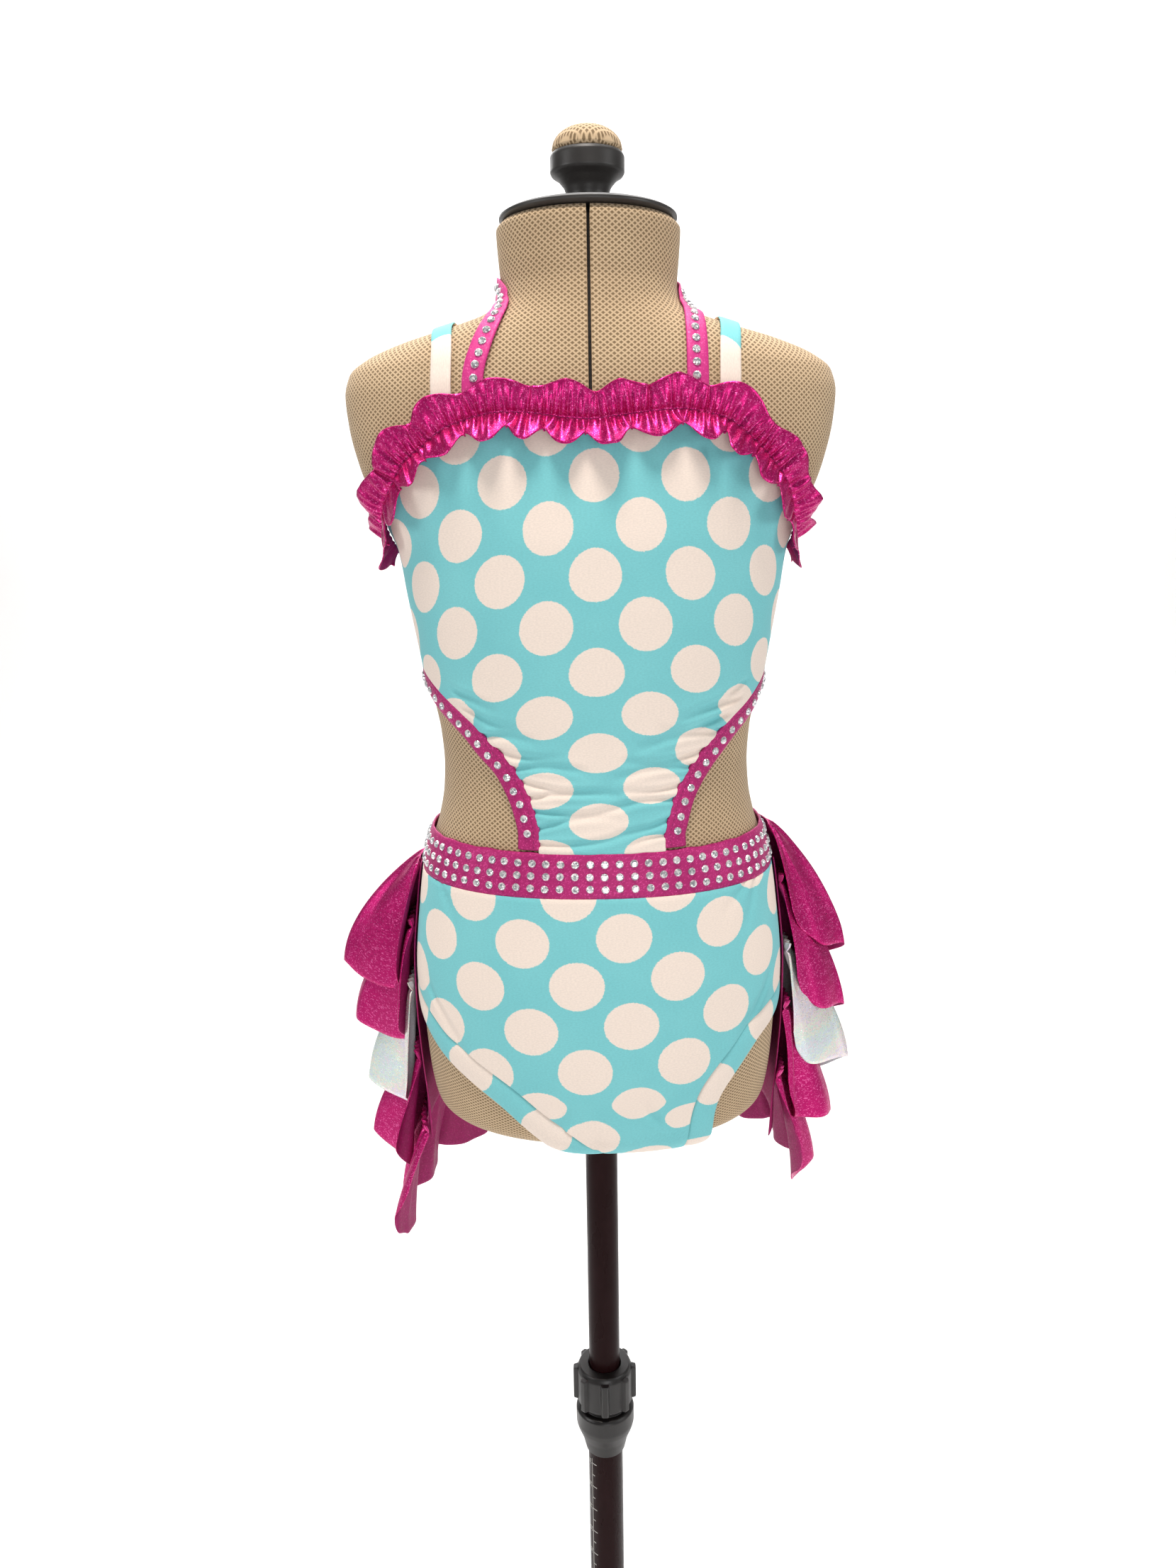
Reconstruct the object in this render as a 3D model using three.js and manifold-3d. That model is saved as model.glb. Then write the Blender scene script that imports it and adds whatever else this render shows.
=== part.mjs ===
// Child's two-tone dance costume on a limbless dress form with a telescoping stand
// Millimetres, +Z up, front of the costume towards -Y, origin on the floor under the pole
import * as THREE from 'three';
import { mergeVertices } from 'three/addons/utils/BufferGeometryUtils.js';
import Module from 'manifold-3d';

const wasm = await Module();
wasm.setup();

// Cloth and seams
const CLEAR = 1.1; // form to the inner face of straps and bands
const PANEL_CLEAR = 1.8; // form to the inner face of the bodice, whose facets cut in
const BRIEF_CLEAR = 2.4; // form to the inner face of the brief
const WALL = 1.2; // stretch cloth
const BAND_WALL = 2.0; // folded bindings, waistband and leg bands
const SEAM = 0.3; // gap between two sewn pieces
const PLY_GAP = 0.9; // gap between two plies that lie on each other
const BINDING_WIDTH = 12;
const LEG_BAND_WIDTH = 16;
const WAIST_TOP = 863.5;
const WAIST_BOTTOM = 837.5;
const SIDE_SEAM = 89.8; // degrees round from the centre front

// Neckline frill, gathered along its middle
const FRILL_UP = 16;
const FRILL_DOWN = 16;
const FRILL_WAVES_UP = 12;
const FRILL_WAVES_DOWN = 16;
const FRILL_DEPTH_UP = 5;
const FRILL_DEPTH_DOWN = 8.5;
const FRILL_OPEN = 3.2; // how far a wing's edge stands off in a trough
const FRILL_SWAY = 2.2;
const FRILL_UNEVEN = 0.2;
const FRILL_CURL = 0.96; // share of a wing's cut width that is left once it waves
const FRILL_REACH = 0.99; // the frill stops just short of the side seams

// Bustle of five gathered tiers
const TIER_FOLDS = 8;
const TIER_REST_ANGLE = 8; // degrees off the hang line in a trough
const TIER_BULGE = 1.5; // a tier leaves its gathers steeply, then hangs
const TIER_CORNER = 34; // width over which a tier's hem curves up to its free end
const TIER_CORNER_RISE = 46;
const TIER_PITCH = 2.2; // mm of gathers to a degree of share
const TIER_SWAY = 6;
const TIER_PHASE = 0.9; // radians, where the first fold starts at the right hip
const TIER_MIDDLE = 0.75; // fullness at the centre back, against 1 at the hips
const BUSTLE_HEM = 657;
const LOWEST_HOLD = 680; // below this height the bustle hangs straight down

// Dress form
const FORM_SIDES = 36;
const SOCKET_TOP = 720;
const CAP_RADIUS = 51;
const NECK_TOP = 1215;

// Stand
const TUBE_SIDES = 24;
const UPPER_TUBE_RADIUS = 11;
const UPPER_TUBE_BORE = 9.6;
const UPPER_TUBE_BOTTOM = 250;
const LOWER_TUBE_RADIUS = 12.5;
const LOWER_TUBE_BORE = 11.5;
const LOWER_TUBE_BOTTOM = 22;
const LOWER_TUBE_TOP = 440;
const COLLAR_RADIUS = 21;
const COLLAR_NECK_RADIUS = 16;
const NUT_RADIUS = 19.8;
const NUT_LUG_RADIUS = 22.7;
const NUT_LUGS = 8;
const NUT_BOTTOM = 426;
const NUT_TOP = 456;
const HUB_RADIUS = 30;
const LEG_RADIUS = 9;
const LEG_REACH = 250;
const FOOT_RADIUS = 14;
const LEGS = 4;

const degrees = THREE.MathUtils.degToRad;

function table(columns, rows) {
  return rows.map((row) => Object.fromEntries(columns.map((name, k) => [name, row[k]])));
}

// Sections of the form: v runs down the profile and under it, the rest are the section's sizes
const BODY = table(['v', 'z', 'half', 'front', 'back', 'square'], [
  [564, 664.6, 11.4, 11.4, 11.4, 2.0],
  [590, 665, 36, 26, 26, 2.05],
  [620, 666.3, 66, 45, 46, 2.15],
  [642, 668.6, 88, 61, 63, 2.25],
  [658, 674.5, 101, 73, 75, 2.3],
  [672, 683.3, 108.5, 80, 82, 2.35],
  [690, 696, 111.5, 83, 85, 2.35],
  [716, 716, 113.6, 85, 87, 2.35],
  [742, 742, 115, 86, 88, 2.35],
  [768, 768, 115.3, 86, 88, 2.35],
  [818, 818, 111, 84, 84, 2.3],
  [850, 850, 106, 82, 78, 2.25],
  [871, 871, 99.5, 80.5, 73.5, 2.2],
  [889, 889, 96, 79.5, 71.5, 2.2],
  [906, 906, 95, 79, 71, 2.2],
  [924, 924, 96, 79.5, 72.5, 2.25],
  [947, 947, 99.8, 81, 75, 2.3],
  [981, 981, 105.5, 83, 78.5, 2.3],
  [1008, 1008, 110, 84, 80.5, 2.3],
  [1034, 1034, 114, 84, 82, 2.3],
  [1050, 1050, 121, 82.5, 83, 2.3],
  [1068, 1068, 132, 80, 82.5, 2.3],
  [1085, 1085, 138, 77, 81, 2.3],
  [1105, 1105, 142.5, 73, 78, 2.25],
  [1122, 1122, 144, 69, 74.5, 2.2],
  [1134, 1134, 141, 65.5, 70.5, 2.1],
  [1142, 1142, 131, 62.5, 67, 2.05],
  [1150, 1150, 112, 59.5, 64, 2.0],
  [1158, 1158, 84, 56, 61, 2.0],
  [1165, 1165, 63, 53, 58, 2.0],
  [1172, 1172, 53.5, 51, 55, 2.0],
  [1182, 1182, 51, 49, 52, 2.0],
  [1196, 1196, 52, 49, 51, 2.0],
  [1211, 1211, 52.8, 50, 52, 2.0],
  [1215, 1215, 49.5, 46.5, 48.5, 2.0],
]);

// Top edge of the bodice, which the frill is gathered onto
const NECKLINE = table(['t', 'v'], [
  [-90, 1034], [-78, 1050], [-70, 1062], [-65, 1071], [-61, 1082], [-56, 1090], [-51, 1098],
  [-46, 1102], [-38, 1105.5], [-26, 1105.5], [-11, 1102.6], [0, 1101.7], [12, 1103.3],
  [24, 1105.3], [36, 1106.3], [43, 1104.5], [49, 1100.5], [54, 1092], [59, 1081],
  [64, 1069], [70, 1054], [78, 1043], [90, 1034],
]);

// Edge of the bodice at the waist cut-outs, from the waistband up to the side seam
const CUT_LEFT = table(['v', 't'], [
  [863, -22.8], [873, -22.8], [892, -25.7], [905, -29.6], [917, -34.6], [928, -42],
  [939, -49], [952, -61], [962, -73], [970, -90],
]);
const CUT_RIGHT = table(['v', 't'], [
  [863, 26.9], [873, 26.9], [882, 28.5], [896, 31.6], [908, 36.1], [918.6, 41.4], [927.3, 46.8],
  [937.3, 54], [946, 62.5], [957, 74], [966, 90],
]);
const BACK_EDGE = 972;

// Leg openings, from the side down the front to the crotch, then up the back to the side
const LEG_LEFT_FRONT = table(['t', 'v'], [
  [-90, 753], [-79, 746], [-69, 738], [-59.6, 727.8], [-49.4, 716.6], [-39.2, 701.5],
  [-28.8, 679.4], [-12, 652], [10, 616], [32, 586], [90, 569],
]);
const LEG_LEFT_BACK = table(['t', 'v'], [
  [90, 569], [152, 587], [178, 619], [195, 655], [206, 688], [219, 714], [235, 734],
  [252, 746], [270, 753],
]);
const LEG_RIGHT_FRONT = table(['t', 'v'], [
  [90, 750], [81, 746], [71, 742], [61.2, 735.9], [51, 718.2], [45.8, 701.2], [44.4, 680.1],
  [47, 658], [60, 637], [90, 624],
]);
const LEG_RIGHT_BACK = table(['t', 'v'], [
  [90, 624], [120, 642], [133, 674], [137, 700], [131, 722], [120, 738], [106, 747], [90, 750],
]);

// Routes of the straps over the form, as places that the strap's middle passes
const HALTER_ROUTE = table(['x', 'y', 'z'], [
  [-63, -68, 1107], [-63, -64, 1128], [-59, -58, 1143], [-54, -49, 1157], [-51, -36, 1168],
  [-52, -12, 1179], [-44, 27, 1185], [-20, 49, 1188], [2, 54, 1188], [24, 48, 1188],
  [46, 26, 1184], [55, -6, 1176], [58, -30, 1167], [58, -50, 1155], [58, -61, 1139],
  [57.8, -66, 1124], [57.6, -70, 1107],
]);
const SHOULDER_LEFT_ROUTE = table(['x', 'y', 'z'], [
  [-81, -66, 1103], [-81, -62, 1119], [-81, -52, 1143], [-82, -30, 1156], [-82, 0, 1159],
  [-81, 28, 1158], [-79, 52, 1147], [-75, 66, 1125], [-70, 74, 1100], [-66, 80, 1065],
  [-62, 80, 1034],
]);
const SHOULDER_RIGHT_ROUTE = table(['x', 'y', 'z'], [
  [75.4, -67, 1106], [75.5, -64, 1117], [76.3, -55, 1140], [77.5, -40, 1153], [78, -10, 1160],
  [78, 20, 1160], [76, 46, 1151], [73, 62, 1133], [69, 72, 1105], [65, 80, 1066],
  [61, 80, 1034],
]);
const SHOULDER_WIDTH = 11;
const HALTER_WIDTH = 11;

// Tiers of the bustle, from the top: heights of the gathering line and lengths at both hips
const TIERS = table(
  [
    'name', 'rightZ', 'leftZ', 'rightLength', 'leftLength', 'rightFlare', 'leftFlare', 'start',
    'material',
  ],
  [
    ['bustle_tier_1', 861, 838, 104, 103, 19, 25, 84, 'magenta'],
    ['bustle_tier_2', 822, 795, 100, 98, 18.5, 24, 84, 'magenta'],
    ['bustle_tier_3', 776, 753, 93, 99, 23, 20, 83, 'silver'],
    ['bustle_tier_4', 738, 707, 94, 92, 17, 21, 80, 'magenta'],
    ['bustle_tier_5', 693, 661, 78, 89, 13, 9, 75, 'magenta'],
  ],
);

// Smooth value of one column along another, with no overshoot
function along(rows, axis, key, at) {
  const last = rows.length - 1;
  if (at <= rows[0][axis]) return rows[0][key];
  if (at >= rows[last][axis]) return rows[last][key];
  let i = 0;
  while (rows[i + 1][axis] < at) i += 1;
  const rise = (k) => (rows[k + 1][key] - rows[k][key]) / (rows[k + 1][axis] - rows[k][axis]);
  const slope = (k) => {
    if (k === 0) return rise(0);
    if (k === last) return rise(last - 1);
    const before = rise(k - 1);
    const after = rise(k);
    return before * after <= 0 ? 0 : (2 * before * after) / (before + after);
  };
  const span = rows[i + 1][axis] - rows[i][axis];
  const u = (at - rows[i][axis]) / span;
  const u2 = u * u;
  const u3 = u2 * u;
  const start = (2 * u3 - 3 * u2 + 1) * rows[i][key] + (u3 - 2 * u2 + u) * span * slope(i);
  return start + (u3 - u2) * span * slope(i + 1) + (3 * u2 - 2 * u3) * rows[i + 1][key];
}

// Point of the form's surface: t in degrees round from the centre front, v down the profile
function bodyPoint(t, v) {
  const sine = Math.sin(degrees(t));
  const cosine = Math.cos(degrees(t));
  const half = along(BODY, 'v', 'half', v);
  const depth = along(BODY, 'v', cosine > 0 ? 'front' : 'back', v);
  const power = along(BODY, 'v', 'square', v);
  const sum = (Math.abs(sine) / half) ** power + (Math.abs(cosine) / depth) ** power;
  const reach = sum ** (-1 / power);
  return new THREE.Vector3(reach * sine, -reach * cosine, along(BODY, 'v', 'z', v));
}

// Azimuth at an even share of the outline, and back: closer steps where the outline turns most
const SHARE_ASPECT = 1.35;
const SHARE_POWER = 0.87;

function unwrap(angle, near) {
  return angle + 360 * Math.round((near - angle) / 360);
}

function signedPower(value, power) {
  return Math.sign(value) * Math.abs(value) ** power;
}

function turnAt(share) {
  const sine = SHARE_ASPECT * signedPower(Math.sin(degrees(share)), SHARE_POWER);
  const cosine = signedPower(Math.cos(degrees(share)), SHARE_POWER);
  return unwrap(THREE.MathUtils.radToDeg(Math.atan2(sine, cosine)), share);
}

function shareAt(turn) {
  const sine = signedPower(Math.sin(degrees(turn)) / SHARE_ASPECT, 1 / SHARE_POWER);
  const cosine = signedPower(Math.cos(degrees(turn)), 1 / SHARE_POWER);
  return unwrap(THREE.MathUtils.radToDeg(Math.atan2(sine, cosine)), turn);
}

function mixTurn(from, to, part) {
  return turnAt(THREE.MathUtils.lerp(shareAt(from), shareAt(to), part));
}

const STEP_T = 0.05; // degrees, for differences along the surface
const STEP_V = 0.5;

function bodyNormal(t, v) {
  const across = bodyPoint(t + STEP_T, v).sub(bodyPoint(t - STEP_T, v));
  const up = bodyPoint(t, v + STEP_V).sub(bodyPoint(t, v - STEP_V));
  return across.cross(up).normalize();
}

// Place off the form: cloth bridges the tight bottom rim, so it stands a little further off there
const RIM_V = 662;
const RIM_SPAN = 17;
const RIM_LIFT = 2.9;

function onBody(t, v, lift) {
  const rim = RIM_LIFT * Math.exp(-(((v - RIM_V) / RIM_SPAN) ** 2));
  return bodyPoint(t, v).addScaledVector(bodyNormal(t, v), lift + rim);
}

// Nearest place of the form's surface to a point, searched from a place close by
function settle(point, start) {
  let { t, v } = start;
  for (let round = 0; round < 14; round += 1) {
    const here = bodyPoint(t, v);
    const across = bodyPoint(t + STEP_T, v).sub(here).divideScalar(STEP_T);
    const up = bodyPoint(t, v + STEP_T).sub(here).divideScalar(STEP_T);
    const miss = point.clone().sub(here);
    const aa = across.dot(across);
    const au = across.dot(up);
    const uu = up.dot(up);
    const det = aa * uu - au * au;
    const moveT = (miss.dot(across) * uu - miss.dot(up) * au) / det;
    const moveV = (miss.dot(up) * aa - miss.dot(across) * au) / det;
    t += THREE.MathUtils.clamp(moveT, -12, 12);
    v += THREE.MathUtils.clamp(moveV, -8, 8);
  }
  return { t, v };
}

function solid(positions, indices) {
  const geometry = new THREE.BufferGeometry();
  geometry.setAttribute('position', new THREE.Float32BufferAttribute(positions, 3));
  geometry.setIndex(indices);
  return geometry;
}

// Turns a closed geometry's faces so that they point outwards
function outward(geometry) {
  const place = geometry.getAttribute('position');
  const index = geometry.getIndex().array;
  const corner = (k) => new THREE.Vector3().fromBufferAttribute(place, index[k]);
  let volume = 0;
  for (let k = 0; k < index.length; k += 3) {
    volume += corner(k).dot(corner(k + 1).cross(corner(k + 2)));
  }
  if (volume < 0) {
    for (let k = 0; k < index.length; k += 3) {
      [index[k + 1], index[k + 2]] = [index[k + 2], index[k + 1]];
    }
  }
  return geometry;
}

// Cloth wall of even thickness about a grid of points, closed round when wrap is set
function clothWall(grid, thickness, wrap = false) {
  const rows = grid.length;
  const columns = grid[0].length;
  const pick = (r, c) => {
    const column = wrap ? (c + columns) % columns : THREE.MathUtils.clamp(c, 0, columns - 1);
    return grid[THREE.MathUtils.clamp(r, 0, rows - 1)][column];
  };
  const positions = [];
  for (const side of [1, -1]) {
    for (let r = 0; r < rows; r += 1) {
      for (let c = 0; c < columns; c += 1) {
        const across = pick(r, c + 1).clone().sub(pick(r, c - 1));
        const down = pick(r + 1, c).clone().sub(pick(r - 1, c));
        const normal = across.cross(down).normalize();
        const point = grid[r][c].clone().addScaledVector(normal, (side * thickness) / 2);
        positions.push(point.x, point.y, point.z);
      }
    }
  }
  const count = rows * columns;
  const indices = [];
  const quad = (a, b, c, d) => indices.push(a, b, c, a, c, d);
  const lastColumn = wrap ? columns : columns - 1;
  for (let r = 0; r < rows - 1; r += 1) {
    for (let c = 0; c < lastColumn; c += 1) {
      const next = (c + 1) % columns;
      const a = r * columns + c;
      const b = r * columns + next;
      const d = (r + 1) * columns + c;
      const e = (r + 1) * columns + next;
      quad(a, b, e, d);
      quad(a + count, d + count, e + count, b + count);
    }
  }
  for (let c = 0; c < lastColumn; c += 1) {
    const next = (c + 1) % columns;
    const foot = (rows - 1) * columns;
    quad(c, c + count, next + count, next);
    quad(foot + c, foot + next, foot + next + count, foot + c + count);
  }
  for (let r = 0; r < rows - 1 && !wrap; r += 1) {
    const a = r * columns;
    const b = (r + 1) * columns;
    const last = columns - 1;
    quad(a, b, b + count, a + count);
    quad(a + last, a + last + count, b + last + count, b + last);
  }
  return outward(solid(positions, indices));
}

// Panel of cloth lying on the form, from a function that places each row and column
function panel(rows, columns, place, lift = PANEL_CLEAR, wall = WALL, wrap = false) {
  const grid = [];
  const lastColumn = wrap ? columns - 1 : columns;
  for (let r = 0; r <= rows; r += 1) {
    const row = [];
    for (let c = 0; c <= lastColumn; c += 1) {
      const { t, v } = place(r / rows, c / columns);
      row.push(onBody(t, v, lift + wall / 2));
    }
    grid.push(row);
  }
  return clothWall(grid, wall, wrap);
}

// Places at a sideways distance from a line of places on the form
function beside(places, distance, closed = false) {
  const points = places.map(({ t, v }) => bodyPoint(t, v));
  const count = points.length;
  return places.map((place, k) => {
    const after = closed ? points[(k + 1) % count] : points[Math.min(k + 1, count - 1)];
    const before = closed ? points[(k + count - 1) % count] : points[Math.max(k - 1, 0)];
    const forward = after.clone().sub(before).normalize();
    const side = bodyNormal(place.t, place.v).cross(forward).normalize();
    return settle(points[k].clone().addScaledVector(side, distance), place);
  });
}

// Strip of cloth along a line of places, between two sideways distances
function strip(places, from, to, options = {}) {
  const { lift = CLEAR, wall = BAND_WALL, closed = false, steps = 2 } = options;
  const lines = [];
  for (let k = 0; k <= steps; k += 1) {
    lines.push(beside(places, from + ((to - from) * k) / steps, closed));
  }
  const grid = lines.map((line) => line.map(({ t, v }) => onBody(t, v, lift + wall / 2)));
  return clothWall(grid, wall, closed);
}

// Evenly spaced places on a smooth line through a route of points or places
function route(stops, count, start) {
  const points = stops.map((stop) => (
    stop.x === undefined ? bodyPoint(stop.t, stop.v) : new THREE.Vector3(stop.x, stop.y, stop.z)
  ));
  const curve = new THREE.CatmullRomCurve3(points, false, 'centripetal');
  const places = [];
  let place = start;
  for (let k = 0; k <= count; k += 1) {
    place = settle(curve.getPointAt(k / count), place);
    places.push(place);
  }
  return places;
}

const mix = THREE.MathUtils.lerp;

// Bodice front: full width at the chest, narrowing between the waist cut-outs
const CHEST_LINE = 970;
const BODICE_UPPER_ROWS = 6;
const BODICE_LOWER_ROWS = 10;
const bodiceRows = BODICE_UPPER_ROWS + BODICE_LOWER_ROWS;
const waistEnd = WAIST_TOP + SEAM;
const CUT_SPACING = 1.5; // rows lie closer together where the cut-out runs to the side
const cutHeight = (k) => mix(CHEST_LINE, waistEnd, (k / BODICE_LOWER_ROWS) ** CUT_SPACING);

function bodicePlace(down, across) {
  const row = Math.round(down * bodiceRows);
  if (row <= BODICE_UPPER_ROWS) {
    const t = mixTurn(-SIDE_SEAM, SIDE_SEAM, across);
    const top = along(NECKLINE, 't', 'v', t);
    return { t, v: mix(top, CHEST_LINE, row / BODICE_UPPER_ROWS) };
  }
  const v = cutHeight(row - BODICE_UPPER_ROWS);
  const left = Math.max(along(CUT_LEFT, 'v', 't', v), -SIDE_SEAM);
  const right = Math.min(along(CUT_RIGHT, 'v', 't', v), SIDE_SEAM);
  return { t: mixTurn(left, right, across), v };
}

// Bodice back: a plain band from side seam to side seam
const BACK_TOP = 1034;

function bodiceBackPlace(down, across) {
  return {
    t: mixTurn(180 - SIDE_SEAM, 180 + SIDE_SEAM, across),
    v: mix(BACK_TOP, BACK_EDGE, down),
  };
}

// Line of the binding: up the cut-out edge, then round the back to the centre back
const BINDING_BACK_STEPS = 9;
const BINDING_END = 2; // the binding's slanted end clears the waistband

function bindingLine(cut, side) {
  const places = [];
  for (let k = BODICE_LOWER_ROWS; k > 0; k -= 1) {
    const v = k === BODICE_LOWER_ROWS ? waistEnd + BINDING_END : cutHeight(k);
    places.push({ t: along(cut, 'v', 't', v), v });
  }
  const { t, v } = places[places.length - 1];
  for (let k = 1; k <= BINDING_BACK_STEPS; k += 1) {
    const part = k / BINDING_BACK_STEPS;
    places.push({
      t: mixTurn(t, side * (180 - SEAM / 2), part),
      v: mix(v, BACK_EDGE, Math.min(1, part * 3)),
    });
  }
  return places;
}

// Leg openings and the lines of their inner seams
const LEG_STEPS = 12;
const LEG_SEAM = 0.5;
const legFront = { left: route(LEG_LEFT_FRONT, LEG_STEPS, LEG_LEFT_FRONT[0]) };
const legBack = { left: route(LEG_LEFT_BACK, LEG_STEPS, LEG_LEFT_BACK[0]) };
legFront.right = route(LEG_RIGHT_FRONT, LEG_STEPS, LEG_RIGHT_FRONT[0]);
legBack.right = route(LEG_RIGHT_BACK, LEG_STEPS, LEG_RIGHT_BACK[0]);

function legLoop(side) {
  return [...legFront[side].slice(0, -1), ...legBack[side].slice(0, -1)];
}

const LEG_SIGN = { left: 1, right: -1 };

function legSeam(side) {
  const sign = LEG_SIGN[side];
  return beside(legLoop(side), sign * (LEG_BAND_WIDTH + LEG_SEAM), true);
}

const seams = { left: legSeam('left'), right: legSeam('right') };

// Brief: rows from the waistband to the side of the leg openings, then between their seams
const BRIEF_UPPER_ROWS = 3;
const CROTCH_HALF_GAP = 0.2;

function briefPlace(back) {
  const total = BRIEF_UPPER_ROWS + LEG_STEPS;
  const firstT = back ? 180 - SIDE_SEAM : -SIDE_SEAM;
  const lastT = back ? 180 + SIDE_SEAM : SIDE_SEAM;
  const legRow = (side, k) => {
    const loop = seams[side];
    const place = loop[back ? (loop.length - k) % loop.length : k];
    const t = back && side === 'left' && place.t < 0 ? place.t + 360 : place.t;
    return { t, v: place.v };
  };
  return (down, across) => {
    const row = Math.round(down * total);
    const k = row - BRIEF_UPPER_ROWS;
    const first = legRow(back ? 'right' : 'left', Math.max(k, 0));
    const last = legRow(back ? 'left' : 'right', Math.max(k, 0));
    if (k <= 0) {
      const t = mixTurn(firstT, lastT, across);
      const side = mix(first.v, last.v, across);
      return { t, v: mix(WAIST_BOTTOM - SEAM, side, row / BRIEF_UPPER_ROWS) };
    }
    const t = THREE.MathUtils.clamp(mixTurn(first.t, last.t, across), firstT, lastT);
    const place = { t, v: mix(first.v, last.v, across) };
    if (k < LEG_STEPS) return place;
    const shift = new THREE.Vector3(0, back ? CROTCH_HALF_GAP : -CROTCH_HALF_GAP, 0);
    return settle(bodyPoint(place.t, place.v).add(shift), place);
  };
}

// Frill along the neckline: two gathered wings that wave away from the form
const FRILL_LIFT = PANEL_CLEAR + WALL + PLY_GAP + WALL / 2;
const FRILL_STEPS = FRILL_WAVES_DOWN * 5;
const FRILL_ROWS = table(['side', 'out'], [
  [1, 1], [1, 0.55], [1, 0], [-1, 0.5], [-1, 1],
]);

function frillGrid() {
  const stops = NECKLINE.map(({ t, v }) => ({ t: t * FRILL_REACH, v }));
  const places = route(stops, FRILL_STEPS, stops[0]);
  return FRILL_ROWS.map(({ side, out }) => {
    const up = side > 0;
    const width = up ? FRILL_UP : FRILL_DOWN;
    const waves = up ? FRILL_WAVES_UP : FRILL_WAVES_DOWN;
    const depth = up ? FRILL_DEPTH_UP : FRILL_DEPTH_DOWN;
    const shifted = beside(places, side * out * width * FRILL_CURL);
    return shifted.map((place, k) => {
      const phase = (2 * Math.PI * waves * k) / FRILL_STEPS;
      const uneven = 1 - FRILL_UNEVEN * (1 - Math.sin(phase * 0.37 + 1));
      const wave = 0.5 - 0.5 * Math.cos(phase);
      const point = onBody(place.t, place.v, FRILL_LIFT + out * (FRILL_OPEN + depth * uneven * wave));
      const next = shifted[Math.min(k + 1, FRILL_STEPS)];
      const before = shifted[Math.max(k - 1, 0)];
      const run = bodyPoint(next.t, next.v).sub(bodyPoint(before.t, before.v)).normalize();
      return point.addScaledVector(run, out * FRILL_SWAY * Math.sin(phase * 2) * -0.5);
    });
  });
}

// Bustle base: a plain panel on the seat from hip to hip, which carries the tiers
const BASE_START_TOP = 86;
const BASE_START_HEM = 72;
const BASE_LIFT = BRIEF_CLEAR + WALL + PLY_GAP + WALL / 2;
const BASE_ROWS = 7;
const BASE_COLUMNS = 18;

function hangPoint(t, z, lift) {
  return onBody(t, Math.max(z, LOWEST_HOLD), lift).setZ(z);
}

function baseGrid() {
  const grid = [];
  for (let r = 0; r <= BASE_ROWS; r += 1) {
    const down = r / BASE_ROWS;
    const z = mix(WAIST_BOTTOM - SEAM, BUSTLE_HEM, down);
    const start = mix(BASE_START_TOP, BASE_START_HEM, down ** 2);
    const row = [];
    for (let c = 0; c <= BASE_COLUMNS; c += 1) {
      row.push(hangPoint(mixTurn(start, 360 - start, c / BASE_COLUMNS), z, BASE_LIFT));
    }
    grid.push(row);
  }
  return grid;
}

// One gathered tier: it leaves the seat at an angle that swells into soft cone-like folds
const TIER_COLUMNS = TIER_FOLDS * 5;
const TIER_ROWS = 3;
const TIER_LIFT = BASE_LIFT + WALL + PLY_GAP;
const FOLD_START = shareAt(84);

function cornerCut(distance) {
  const left = Math.max(0, 1 - distance / TIER_CORNER);
  return TIER_CORNER_RISE * (1 - Math.sqrt(1 - left * left));
}

function tierGrid(tier) {
  const grid = [];
  for (let r = 0; r <= TIER_ROWS; r += 1) {
    const row = [];
    for (let c = 0; c <= TIER_COLUMNS; c += 1) {
      const first = shareAt(tier.start);
      const share = mix(first, 360 - first, c / TIER_COLUMNS);
      const across = (share - FOLD_START) / (360 - 2 * FOLD_START);
      const t = turnAt(share);
      const phase = 2 * Math.PI * TIER_FOLDS * across + TIER_PHASE;
      const fold = 0.5 - 0.5 * Math.cos(phase);
      const hipFull = mix(TIER_MIDDLE, 1, Math.abs(Math.cos(Math.PI * across)));
      const flare = mix(tier.rightFlare, tier.leftFlare, across);
      const lean = Math.sin(degrees(TIER_REST_ANGLE + flare * hipFull * fold));
      const corner = cornerCut(Math.min(share - first, 360 - first - share) * TIER_PITCH);
      const length = mix(tier.rightLength, tier.leftLength, across);
      const down = (r / TIER_ROWS) * (1 - corner / length);
      const bulge = 1 - (1 - down) ** TIER_BULGE;
      const fall = down - 0.3 * (TIER_BULGE * lean) ** 2 * (1 - (1 - down) ** 2);
      const z = mix(tier.rightZ, tier.leftZ, across) - length * fall;
      const hold = hangPoint(t, z, TIER_LIFT);
      const out = new THREE.Vector3(hold.x, hold.y, 0).normalize();
      const sideways = new THREE.Vector3(-out.y, out.x, 0);
      hold.addScaledVector(out, length * lean * bulge);
      hold.addScaledVector(sideways, TIER_SWAY * down * Math.sin(phase));
      row.push(hold);
    }
    grid.push(row);
  }
  return grid;
}

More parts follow.
